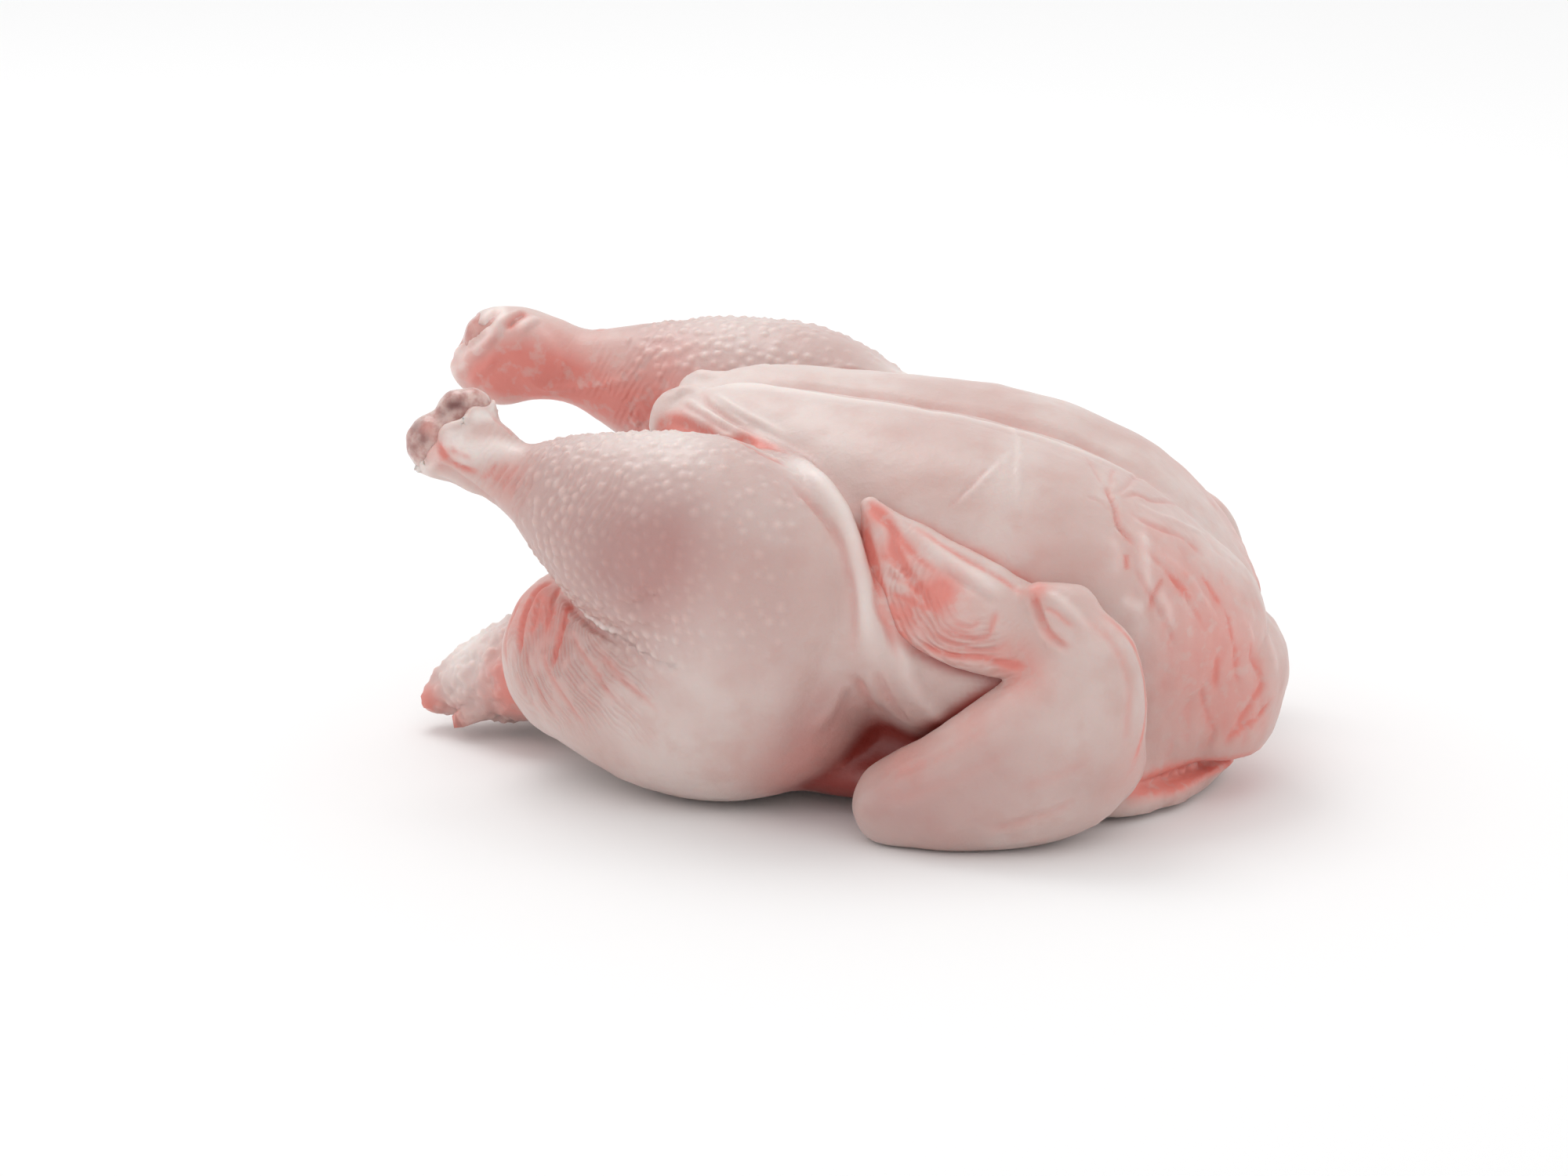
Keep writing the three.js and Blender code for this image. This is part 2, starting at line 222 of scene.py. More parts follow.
# These are on the left side or over the keel only.
LEFT_LINES = [
    # the crest of the left breast, whose pale line is a painted highlight
    ([(-42, -8, 95), (-24, -13, 98), (11, -15, 96), (41, -13, 92), (65, -9, 87), (86, -4, 75)],
     1.3, 0.6, 0, 0.7),
    ([(-30, 1, 94), (-5, 1, 93), (20, 0, 90), (45, 0, 87), (66, 2, 80), (84, 5, 68)], 2.2, -1.2, 0.25, 0),
    # the crease between the drumstick and the fold
    ([(-25, -46, 95), (-19, -50, 94), (-13, -52, 92), (-8, -53, 90), (-2, -53, 88)], 0.6, -0.4, 0.7, 0),
    # sinews under the skin of the breast
    ([(37, -49, 79), (42, -43, 84), (46, -34, 88), (47, -28, 89)], 0.5, 0.25, 0, 0.25),
    ([(40, -6, 92), (46, -18, 91), (50, -35, 86), (52, -46, 78)], 0.5, 0.25, 0, 0.3),
    ([(35, -50, 78), (40, -44, 83), (44, -35, 88)], 0.5, -0.2, 0.15, 0),
    # the pucker over the shoulder and the creases that run to it
    ([(70, -24, 81), (71, -27, 80), (73, -31, 78), (75, -35, 74), (78, -36, 71), (81, -37, 69)],
     0.6, -0.7, 0.6, 0),
    ([(70, -10, 83), (70, -18, 82), (71, -25, 80)], 0.5, -0.3, 0.3, 0),
    ([(73, -28, 79), (74, -18, 80), (74, -6, 79), (74, 5, 78)], 0.6, -0.4, 0.25, 0),
    ([(74, -30, 78), (77, -21, 79), (80, -18, 76), (83, -8, 73), (84, 3, 70)], 0.6, -0.4, 0.35, 0),
    ([(76, -30, 77), (80, -29, 74), (84, -27, 72), (90, -22, 68), (95, -21, 63)], 0.7, -0.4, 0.35, 0),
    ([(77, -25, 78), (83, -22, 74), (89, -15, 70), (93, -8, 66)], 0.6, 0.3, 0, 0.25),
    ([(62, -12, 86), (66, -20, 84), (70, -27, 81)], 0.5, -0.25, 0.2, 0),
    ([(66, -33, 79), (70, -33, 79), (74, -34, 76)], 0.5, -0.25, 0.15, 0),
    ([(79, -40, 69), (79, -41, 67), (79, -42, 64)], 0.5, -0.3, 0.7, 0),
    ([(88, -35, 63), (90, -34, 60), (92, -33, 58), (93, -33, 54)], 0.5, -0.3, 0.6, 0),
    ([(88, -37, 62), (87, -38, 61), (86, -41, 58), (85, -42, 54)], 0.5, -0.4, 0.5, 0),
    ([(94, -27, 62), (96, -26, 59), (98, -26, 56), (100, -25, 53)], 0.5, -0.25, 0.6, 0),
    ([(83, -36, 70), (86, -36, 66), (90, -35, 61), (94, -33, 54), (97, -30, 46)], 0.6, -0.3, 0.3, 0),
    ([(80, -40, 67), (83, -41, 62), (87, -41, 56), (90, -40, 50), (92, -38, 43)], 0.6, -0.3, 0.25, 0),
    ([(92, -30, 62), (96, -29, 55), (99, -27, 48)], 0.6, 0.3, 0, 0.3),
    # pale folds below it
    ([(80, -33, 73), (82, -34, 71), (83, -37, 68), (84, -40, 62), (84, -41, 59)], 1.0, 0.6, 0, 0.6),
    ([(78, -45, 59), (80, -44, 57), (82, -43, 56), (84, -42, 55)], 1.2, 0.4, 0, 0.5),
    ([(86, -39, 60), (88, -39, 57), (89, -39, 54), (89, -40, 49)], 1.0, 0.5, 0, 0.5),
    ([(74, -38, 72), (76, -41, 68), (76, -44, 62)], 1.0, 0.35, 0, 0.3),
    ([(86, -34, 68), (90, -32, 64), (94, -30, 60)], 0.9, 0.35, 0, 0.3),
]
RIGHT_LINES = [
    ([(-98, 33, 86), (-92, 34, 83), (-83, 33, 84), (-74, 32, 86), (-66, 31, 88)], 0.8, 0.4, 0, 0.5),
    # the rim of the skin and the folds that run along it
    ([(-103, 38, 102), (-104.5, 35, 100), (-106, 33, 97), (-109, 32, 94), (-113, 33, 91),
      (-116, 34, 87)], 0.9, 1.0, 0, 1.0),
    ([(-106, 40, 103), (-108, 36, 99), (-112, 34, 96), (-116, 35, 92)], 0.8, -1.2, 0.3, 0.2),
    ([(-99, 40, 102), (-101, 36, 101), (-103, 33, 98)], 0.8, -1.1, 0.9, 0),
    ([(-96, 40, 101), (-98, 35, 100), (-100, 33, 97)], 0.8, 0.7, 0, 0.8),
    ([(-114, 36, 99), (-117, 36, 94), (-119, 37, 89)], 0.8, 0.6, 0, 0.9),
    ([(-95, 36, 99), (-91, 34, 96), (-88, 33, 92), (-87, 32, 87)], 1.0, 0.3, 0, 0.5),
    ([(-104, 32, 94), (-108, 31, 89), (-112, 31, 85), (-115, 33, 81)], 0.9, 0.5, 0, 0.5),
]
WING_LINES = [
    # the crease at the wrist and the fold over it
    ([(61, -66, 63), (62, -66, 62), (65, -68, 57), (69, -71, 54), (73, -73, 52)], 0.8, -1.1, 0.7, 0),
    ([(63, -65, 65), (68, -67, 63), (73, -69, 60), (77, -70, 56)], 0.8, 0.4, 0, 0.4),
    ([(64, -67, 61), (68, -69, 60), (73, -71, 57)], 0.5, -0.3, 0.5, 0),
    # the edge of the hand against the thigh
    ([(16, -56, 80), (18, -60, 73), (21, -62, 67), (23, -64, 61), (26, -66, 55), (33, -68, 49)],
     0.8, -0.3, 1.0, 0),
    # the hollow of the hand
    ([(15, -54, 84), (20, -57, 80), (24, -58, 76), (26, -60, 70), (30, -62, 65), (35, -65, 60),
      (40, -68, 56)], 0.9, -0.9, 1.0, 0),
    ([(23, -57, 78), (27, -59, 73), (32, -61, 69), (38, -63, 66)], 0.7, -0.3, 0.5, 0),
    ([(25, -56, 79), (34, -58, 74), (42, -59, 70), (48, -60, 68), (55, -61, 64), (61, -66, 63)],
     0.6, -0.2, 0.7, 0),
    ([(27, -57, 77), (34, -59, 73), (41, -61, 69), (48, -63, 66), (56, -65, 62)], 1.3, 0.6, 0, 0.55),
    ([(37, -62, 69), (42, -63, 66), (48, -64, 63), (53, -66, 59)], 0.9, -0.6, 0.1, 0),
    # folds below it
    ([(31, -68, 52), (37, -69, 49), (43, -69, 48), (50, -70, 48), (57, -70, 47), (62, -71, 47)],
     0.7, -0.6, 0.9, 0),
    ([(33, -68, 54), (43, -70, 51), (51, -70, 50), (57, -70, 53)], 0.6, -0.4, 0.5, 0),
    ([(37, -69, 55), (44, -69, 53), (50, -69, 53), (52, -67, 57), (52, -66, 60)], 0.6, -0.4, 0.6, 0),
    ([(41, -68, 56), (46, -68, 55), (49, -67, 57)], 0.5, -0.3, 0.4, 0),
    ([(22, -61, 70), (26, -62, 68), (30, -63, 66)], 0.5, -0.25, 0.5, 0),
    ([(24, -62, 66), (28, -63, 64), (32, -64, 62)], 0.5, -0.25, 0.5, 0),
    ([(25, -64, 61), (30, -65, 60), (34, -66, 58)], 0.5, -0.25, 0.5, 0),
    # the leading edge and the skin behind it
    ([(72, -70, 62), (80, -69, 55), (84, -69, 45), (85, -70, 36), (84, -70, 26)], 0.9, -0.3, 0.3, 0),
    # the forearm
    ([(28, -78, 18), (40, -81, 25), (54, -80, 34)], 0.9, -0.25, 0.15, 0),
    ([(25, -79, 12), (38, -83, 17), (52, -83, 24), (64, -80, 32)], 1.1, -0.25, 0.1, 0),
    ([(60, -79, 20), (70, -76, 24), (78, -73, 28)], 1.0, -0.25, 0.15, 0),
    ([(52, -79, 9), (64, -77, 13), (75, -73, 18)], 1.0, -0.3, 0.2, 0),
]
# The red edge of the left wing's skin against the breast.
WING_EDGE = [
    ([(76, -65, 62), (84, -63, 54), (88, -62, 44), (89, -62, 35), (89, -64, 26), (87, -65, 17)],
     0.9, -0.2, 0.9, 0),
]

# Places that are set with fine lines, and the middle round which those of the hand run.
LINED_SKIN = [
    ((-68, -54, 34), 13, 0.9), ((-54, -62, 36), 13, 0.8), ((-40, -69, 34), 11, 0.5),
    ((-58, -62, 84), 12, 0.5), ((-74, -54, 80), 9, 0.6), ((-44, -70, 80), 10, 0.3),
    ((-70, 33, 88), 14, 0.3),
]
LINED_WING = [
    ((30, -66, 60), 8, 0.8), ((38, -69, 52), 8, 0.9), ((50, -70, 49), 8, 0.8), ((27, -61, 69), 6, 0.5),
]
HAND_HOLLOW = (47, -66, 64)

# Fine pleats run over the back of the thigh, evenly from the first of these to the last.
FIRST_PLEAT = [(-74, -49, 36), (-74, -52, 30), (-71, -55, 23), (-65, -57, 17)]
LAST_PLEAT = [(-50, -62, 45), (-43, -67, 41.5), (-35, -72, 37.5), (-26, -76, 31)]
PLEATS = 13
# Elsewhere the fine lines stand side by side along this way in x and z, this far apart.
ACROSS_X, ACROSS_Z = 0.87, -0.5
LINE_GAP = 1.7

# Patches under the skin: the middle, how far one reaches and how strong it is.
# Red patches on the skin; the two between thigh and wing, at x 4 to 8, are painted shade.
BLUSHES_AND_PAINTED_SHADE = [
    ((-76, -43, 42), 9, 0.4), ((-66, -50, 45), 8, 0.35), ((-62, -55, 40), 8, 0.25),
    ((-82, -22, 20), 10, 0.8), ((-84, -16, 14), 9, 0.6), ((-112, -9, 8), 5, 0.9),
    ((-106, -15, 4), 3, 0.8), ((-93, -51, 85), 4, 0.5), ((-76, -55, 80), 7, 0.3),
    ((104, -18, 24), 11, 0.45), ((97, -31, 50), 15, 0.45), ((92, -34, 62), 8, 0.25),
    ((104, -22, 42), 12, 0.3), ((78, -40, 66), 8, 0.15), ((90, -42, 36), 13, 0.2),
    ((-28, -79, 66), 16, 0.12), ((60, -55, 68), 12, 0.2), ((20, -58, 68), 6, 0.5),
    ((4, -62, 16), 14, 0.4), ((8, -65, 35), 9, 0.15), ((88, -30, 12), 8, 0.2),
    ((94, -27, 30), 12, 0.25), ((84, -30, 72), 10, 0.2), ((-70, -47, 48), 8, 0.5),
    ((-42, -18, 87), 4.5, 0.9), ((-103, -14, 4.5), 4, 0.6),
]
# Where darker meat shows through the skin; the two patches low between thigh and wing, near x 0 to 9, are
# painted shade.
SKIN_FLESH_AND_PAINTED_SHADE = [
    ((-38, -76, 72), 14, 0.8), ((-27, -78, 68), 12, 0.55), ((-24, -76, 80), 10, 0.35),
    ((-52, -69, 78), 10, 0.25), ((-45, -73, 62), 9, 0.4), ((9, -67, 30), 12, 0.55),
    ((0, -66, 16), 12, 0.35), ((86, -36, 24), 14, 0.1), ((80, -48, 40), 10, 0.45),
    ((-62, -55, 42), 7, 0.3), ((-66, -60, 84), 10, 0.25), ((-33, -77, 58), 6, 0.3),
]
WING_FLESH = [
    ((24, -80, 9), 13, 0.35), ((40, -84, 12), 14, 0.35), ((33, -82, 20), 12, 0.2),
    ((60, -83, 16), 16, 0.25), ((55, -82, 28), 12, 0.2), ((78, -73, 20), 12, 0.2),
]
RIGHT_BLUSHES = [
    ((-104, 32, 87), 9, 0.85), ((-95, 32, 88), 11, 0.75), ((-83, 33, 84), 12, 0.6),
    ((-66, 30, 78), 11, 0.8), ((-92, 34, 80), 9, 0.7), ((-55, 27, 84), 12, 0.5),
    ((-78, 33, 80), 9, 0.4), ((-60, 34, 96), 8, 0.2), ((-112, 33, 86), 6, 0.5),
]
WING_BLUSHES = [
    ((38, -65, 63), 5.5, 1.0), ((28, -61, 70), 5, 0.6), ((30, -67, 57), 5, 0.8),
    ((22, -60, 70), 4, 0.5), ((40, -68, 54), 9, 0.35), ((20, -57, 79), 3.5, 0.8),
    ((58, -70, 47), 6, 0.45), ((62, -65, 65), 3, 0.7), ((78, -64, 58), 7, 0.2),
    ((33, -76, 22), 8, 0.35), ((48, -74, 35), 8, 0.35), ((88, -64, 20), 9, 0.3),
    ((62, -73, 44), 7, 0.25),
]
# Painted shade: places deep between the forms, coloured dark red.
PAINTED_SHADE_PLACES = [((8.5, -56, 7), 7, 0.7), ((0, -58, 5), 7, 0.5)]
# Dark places on the cartilage of the left hock.
HOCK_SPOTS = [
    ((-92.5, -46, 96.5), 1.7, 0.9), ((-90, -46, 97.3), 1.7, 0.9), ((-95, -46, 94), 1.5, 0.5),
    ((-101, -47, 90.5), 2, 0.7), ((-98.5, -50, 88.5), 1.7, 0.6), ((-101, -49, 86), 1.5, 0.4),
]
# Pale patches: those on the tops of the breast and drumstick and on the thigh's outward bulge are painted
# highlights; those over the fold at the knee and on the tail are pale skin.
PALE_SKIN_AND_PAINTED_HIGHLIGHTS = [
    ((-35, -14, 95), 14, 0.35), ((-5, -14, 97), 22, 0.2), ((-45, -50, 94), 16, 0.55),
    ((-2, -50, 88), 7, 0.6), ((-100, -8, 22), 11, 0.9), ((-30, -60, 93), 10, 0.5),
    ((-15, -72, 44), 14, 0.2),
]


def mirrored(rows):
    """The same rows on the bird's other side."""
    return [(row[0], -row[1], *row[2:]) for row in rows]


def smooth_rows(rows, steps):
    """Rows passed through by an even curve, with this many steps for each gap."""
    rows = np.asarray(rows, float)
    padded = np.vstack([2 * rows[0] - rows[1], rows, 2 * rows[-1] - rows[-2]])
    t = (np.arange(steps) / steps)[:, None]
    curve = [
        0.5 * (2 * b + (c - a) * t + (2 * a - 5 * b + 4 * c - d) * t**2 + (3 * b - a - 3 * c + d) * t**3)
        for a, b, c, d in zip(padded, padded[1:], padded[2:], padded[3:])
    ]
    return np.vstack([*curve, rows[-1:]])


def nearest_on(line, points):
    """The place on a line of points nearest to each point, counted in stations, and how far off it is."""
    nearest = np.full(len(points), np.inf)
    station = np.zeros(len(points))
    for i, (start, end) in enumerate(zip(line, line[1:])):
        along = end - start
        offset = points - start
        t = np.clip(offset @ along / (along @ along), 0, 1)
        square = ((offset - t[:, None] * along) ** 2).sum(1)
        closer = square < nearest
        nearest[closer], station[closer] = square[closer], i + t[closer]
    return station, np.sqrt(nearest)


class Form:
    """A round form with an oval section that changes along its bent middle line."""

    # Farther off than this, the distance is a rough one: to the form's box, and so much more.
    REACH = 14.0
    BEYOND_BOX = 6.0

    def __init__(self, rows, up=UP, steps=4):
        line = smooth_rows(rows, steps)
        self.middle, self.girth = line[:, :3], line[:, 3:5]
        forward = np.gradient(self.middle, axis=0)
        self.forward = forward / np.linalg.norm(forward, axis=1)[:, None]
        sideways = np.cross(np.asarray(up, float), self.forward)
        self.sideways = sideways / np.linalg.norm(sideways, axis=1)[:, None]
        self.rise = np.cross(self.forward, self.sideways)
        self.gap = np.gradient(np.r_[0, np.cumsum(np.linalg.norm(np.diff(self.middle, axis=0), axis=1))])
        widest = self.girth.max()
        self.low, self.high = self.middle.min(0) - widest, self.middle.max(0) + widest

    def __call__(self, points):
        """About how far each point is outside the form, less than nothing inside."""
        gap = np.maximum(np.maximum(self.low - points, points - self.high), 0)
        away = np.sqrt((gap**2).sum(1))
        distance = away + self.BEYOND_BOX
        near = away < self.REACH
        if near.any():
            distance[near] = self.closely(points[near])
        return distance

    def closely(self, points):
        """The same for points near the form, measured square to its middle line."""
        station, _ = nearest_on(self.middle, points)
        last = len(self.middle) - 1
        for _ in range(3):
            ahead = ((points - self.at(self.middle, station)) * self.at(self.forward, station)).sum(1)
            step = np.clip(0.7 * ahead / self.at(self.gap, station), -0.8, 0.8)
            station = np.clip(station + step, 0, last)
        offset = points - self.at(self.middle, station)
        girth = self.at(self.girth, station)
        axes = (self.sideways, self.rise, self.forward)
        local = np.stack([(offset * self.at(axis, station)).sum(1) for axis in axes], 1)
        radii = np.column_stack([girth, girth.min(1)])
        k0 = np.linalg.norm(local / radii, axis=1)
        k1 = np.linalg.norm(local / radii**2, axis=1)
        return k0 * (k0 - 1) / np.maximum(k1, 1e-9)

    def at(self, values, station):
        """Values at places between the stations."""
        first = np.minimum(station.astype(int), len(values) - 2)
        share = station - first
        if values.ndim > 1:
            share = share[:, None]
        return values[first] * (1 - share) + values[first + 1] * share


def ramp(values, start, end):
    """From 0 at the start to 1 at the end, with no corner."""
    t = np.clip((values - start) / (end - start), 0, 1)
    return t * t * (3 - 2 * t)


def joined(a, b, softness):
    """Two forms grown together, with a fillet of about this size."""
    overlap = np.maximum(softness - np.abs(a - b), 0) / softness
    return np.minimum(a, b) - overlap * overlap * softness / 4


def cut(a, tool, softness):
    """A form with another taken away from it, and the edge rounded."""
    return -joined(-a, tool, softness)


trunk, back, neck_lip, neck_slit = Form(TRUNK), Form(BACK), Form(NECK_LIP), Form(NECK_SLIT)
crop, tail, tail_flap, cavity = Form(CROP), Form(TAIL), Form(TAIL_FLAP), Form(CAVITY)
breast = [Form(LEFT_BREAST), Form(RIGHT_BREAST)]
folds = [Form(SKIN_FOLD), Form(mirrored(SKIN_FOLD))]
webs = [Form(SKIN_WEB), Form(mirrored(SKIN_WEB))]
vent_edges = [Form(VENT_EDGE), Form(mirrored(VENT_EDGE))]
drumsticks = [Form(LEFT_DRUMSTICK), Form(RIGHT_DRUMSTICK)]
thighs = [Form(THIGH), Form(mirrored(THIGH))]
hocks = [[Form(knob) for knob in LEFT_HOCK], [Form(knob) for knob in RIGHT_HOCK]]
rims = [LEFT_RIM, RIGHT_RIM]


def skin_field(points):
    """Trunk, breast, legs and tail as one skin, opened behind and slit at the neck.

    The last number of each joint or cut is the size of its fillet.
    """
    body = joined(trunk(points), joined(breast[0](points), breast[1](points), 2), 14)
    body = joined(joined(body, crop(points), 8), back(points), 14)
    body = joined(body, neck_lip(points), 5)
    body = cut(body, neck_slit(points), 2)
    # The furrow between drumstick and thigh is sharp behind and fades towards the knee.
    furrow = 1.5 + 20 * ramp(points[:, 0], -46, -14)
    for drumstick, thigh, knobs, rim in zip(drumsticks, thighs, hocks, rims):
        shank = drawn_over(drumstick(points), points, knobs, rim)
        body = joined(body, joined(shank, thigh(points), furrow), 4)
    # The fold is sharp over the knee and spreads into the skin between thigh and wing.
    spread = 2.5 + 10 * ramp(points[:, 2], 60, 40)
    for fold, web, edge in zip(folds, webs, vent_edges):
        body = joined(joined(body, web(points), 9), fold(points), spread)
        body = joined(body, edge(points), 3)
    body = joined(joined(body, tail(points), 6), tail_flap(points), 2)
    body = cut(body, cavity(points), 4)
    return cut(body, points[:, 2], 2)


def hock_field(points, knobs):
    """The two rounds of cartilage at the end of a shank."""
    return joined(knobs[0](points), knobs[1](points), 2.5)


def past_rim(points, rim):
    """How far each point is past the uneven rim of the skin at a hock."""
    place, facing = rim
    waves = 0.9 * np.sin(points[:, 0] * 0.7 + points[:, 1] * 0.5) + 0.5 * np.sin(points[:, 2] * 1.3)
    return (points - place) @ np.asarray(facing) + waves


def drawn_over(shank, points, knobs, rim):
    """A shank whose skin goes on over the cartilage as far as its uneven rim."""
    knob = hock_field(points, knobs)
    sleeve = cut(knob - 0.8, -past_rim(points, rim), 1.2)
    return joined(cut(shank, knob - 0.5, 1.5), sleeve, 4)


def wing_forms(side, facing):
    """The forms of one wing, in the order in which they are joined."""
    return [Form(side(rows), facing) for rows in (FOREARM, UPPER_ARM, ARM_MUSCLE, WING_WEB, WRIST, HAND)]


def wing_field(points, forms):
    """A folded wing, whose elbow rests on the table."""
    forearm, upper_arm, muscle, web, wrist, hand = (form(points) for form in forms)
    arm = joined(joined(joined(forearm, upper_arm, 14), muscle, 10), web, 12)
    arm = joined(joined(arm, wrist, 4), hand, 2.5)
    return cut(arm, points[:, 2], 2)


def by_threads(field, points):
    """The field at many points, worked out in several threads."""
    with ThreadPoolExecutor(THREADS) as pool:
        values = list(pool.map(field, np.array_split(points, PARTS)))
    return np.concatenate(values)


def net_over(values, low, spacing):
    """Corners and four-sided faces of the surface where a grid of values crosses nothing."""
    inside = values < 0
    cells = tuple(n - 1 for n in values.shape)
    total = np.zeros(cells + (3,))
    crossings = np.zeros(cells)
    for axis in range(3):
        first, second = [slice(None)] * 3, [slice(None)] * 3
        first[axis], second[axis] = slice(0, -1), slice(1, None)
        near, far = values[tuple(first)], values[tuple(second)]
        crossed = (near < 0) != (far < 0)
        share = np.where(crossed, near / np.where(crossed, near - far, 1), 0)
        others = [other for other in range(3) if other != axis]
        for i in (0, 1):
            for j in (0, 1):
                window = [slice(None)] * 3
                window[others[0]] = slice(i, i + cells[others[0]])
                window[others[1]] = slice(j, j + cells[others[1]])
                here = crossed[tuple(window)]
                place = np.zeros(here.shape + (3,))
                place[..., axis] = share[tuple(window)]
                place[..., others[0]] = i
                place[..., others[1]] = j
                total += place * here[..., None]
                crossings += here
    used = crossings > 0
    number = np.full(cells, -1)
    number[used] = np.arange(used.sum())
    corners = low + spacing * (np.argwhere(used) + total[used] / crossings[used][:, None])
    faces = []
    for axis in range(3):
        first, second = [slice(1, -1)] * 3, [slice(1, -1)] * 3
        first[axis], second[axis] = slice(0, -1), slice(1, None)
        starts = inside[tuple(first)]
        edges = np.argwhere(starts != inside[tuple(second)])
        outward = starts[tuple(edges.T)]
        edges = edges + 1
        edges[:, axis] -= 1
        one, two = (axis + 1) % 3, (axis + 2) % 3
        ring = []
        for i, j in ((1, 1), (0, 1), (0, 0), (1, 0)):
            cell = edges.copy()
            cell[:, one] -= i
            cell[:, two] -= j
            ring.append(number[tuple(cell.T)])
        ring = np.stack(ring, 1)
        ring[~outward] = ring[~outward][:, ::-1]
        faces.append(ring)
    return corners, np.vstack(faces)


def caught(field, low, high, spacing):
    """The surface of a field, looked for on a coarse grid and then closely beside it."""
    low = np.asarray(low, float)
    counts = np.ceil((np.asarray(high, float) - low) / (spacing * WIDER)).astype(int)
    wide = [low[i] + (np.arange(counts[i]) + 0.5) * spacing * WIDER for i in range(3)]
    grid = np.stack(np.meshgrid(*wide, indexing="ij"), -1).reshape(-1, 3)
    rough = by_threads(field, grid).reshape(counts)
    near = np.abs(rough) < SEARCH_BAND * spacing * WIDER
    values, close = rough, near
    for axis in range(3):
        values, close = np.repeat(values, WIDER, axis), np.repeat(close, WIDER, axis)
    index = np.argwhere(close)
    values[close] = by_threads(field, low + (index + 0.5) * spacing)
    return net_over(values, low + 0.5 * spacing, spacing)


# The corners of a four-sided pyramid, where a field is read to find its slope.
PROBES = np.array([(1, 1, 1), (1, -1, -1), (-1, 1, -1), (-1, -1, 1)], float)


def settled(field, points, rounds=2, probe=0.2):
    """Points moved onto the field's surface."""
    for _ in range(rounds):
        around = np.concatenate([points + probe * corner for corner in PROBES])
        values = by_threads(field, around).reshape(4, -1)
        slope = np.einsum("kn,kd->nd", values, PROBES) / (4 * probe)
        steep = np.maximum((slope**2).sum(1), 0.2)
        points = points - (values.mean(0) / steep)[:, None] * slope
    return points


def new_piece(name, points, faces):
    """A mesh object at the origin, from points in millimetres."""
    mesh = bpy.data.meshes.new(name)
    mesh.from_pydata(((points - (MIDDLE_X, 0, 0)) * MM).tolist(), [], faces.tolist())
    mesh.polygons.foreach_set("use_smooth", [True] * len(mesh.polygons))
    piece = bpy.data.objects.new(name, mesh)
    bpy.context.scene.collection.objects.link(piece)
    return piece


def points_of(mesh):
    """The mesh's points, in millimetres in the stations' frame."""
    places = np.zeros(len(mesh.vertices) * 3, np.float32)
    mesh.vertices.foreach_get("co", places)
    return places.reshape(-1, 3).astype(float) / MM + (MIDDLE_X, 0, 0)


def move_points(mesh, points):
    """Puts the mesh's points at places in the stations' frame."""
    mesh.vertices.foreach_set("co", ((points - (MIDDLE_X, 0, 0)) * MM).astype(np.float32).ravel())
    mesh.update()


def refine(mesh, wanted):
    """Halves the edges whose two ends are in the wanted part."""
    chosen = wanted(points_of(mesh))
    net = bmesh.new()
    net.from_mesh(mesh)
    edges = [e for e in net.edges if chosen[e.verts[0].index] and chosen[e.verts[1].index]]
    bmesh.ops.subdivide_edges(net, edges=edges, cuts=1, use_grid_fill=True, smooth=0)
    net.to_mesh(mesh)
    net.free()
    mesh.polygons.foreach_set("use_smooth", [True] * len(mesh.polygons))


def normals_of(mesh):
    """The directions in which the mesh's points face."""
    normals = np.zeros(len(mesh.vertices) * 3, np.float32)
    mesh.vertex_normals.foreach_get("vector", normals)
    return normals.reshape(-1, 3).astype(float)


def write_values(mesh, name, values):
    """Writes a value at each point, for the material and the goose-pimples to read."""
    attribute = mesh.attributes.new(name, "FLOAT", "POINT")
    attribute.data.foreach_set("value", values.astype(np.float32))


def grain(points, size, seed):
    """Smooth unevenness, from about -1 to 1, with swells of about this size."""
    places = points / size + (seed * 17.3, seed * -5.1, seed * 9.7)
    return np.array([noise.noise(place) for place in places.tolist()])


def bell(distance, reach):
    """1 in the middle, fading away past this reach."""
    return np.exp(-((distance / reach) ** 2))


def drawn_lines(field, lines, side=list, drift=0.3, seed=1):
    """The lines laid on the field's surface, each wandering a little."""
    laid = []
    for path, *look in lines:
        path = smooth_rows(side(path), 6)
        wander = [grain(path, 9, seed + axis) for axis in range(3)]
        laid.append((path + drift * np.stack(wander, 1), look))
    ends = np.cumsum([len(path) for path, _ in laid])[:-1]
    on_skin = np.split(settled(field, np.concatenate([path for path, _ in laid]), 3), ends)
    return [(path, look) for path, (_, look) in zip(on_skin, laid)]


def pleats():
    """The pleats as lines like those in the tables, some deeper and redder than others."""
    first, last = np.array(FIRST_PLEAT, float), np.array(LAST_PLEAT, float)
    lines = []
    for i in range(PLEATS):
        share = (i + 0.35 * math.sin(2.3 * i)) / (PLEATS - 1)
        depth = 0.55 + 0.45 * math.sin(4.1 * i)
        path = (1 - share) * first + share * last + (0, 0, 2.5 * math.sin(3.3 * i))
        lines.append((path.tolist(), 0.5, -0.4 * depth, 0.4 * depth, 0))
    return lines


def across_pleats(points):
    """Counts the fine lines from the first pleat to each point of the left thigh."""
    first, last = (nearest_on(smooth_rows(line, 6), points)[1] for line in (FIRST_PLEAT, LAST_PLEAT))
    return 2 * PLEATS * first / (first + last)


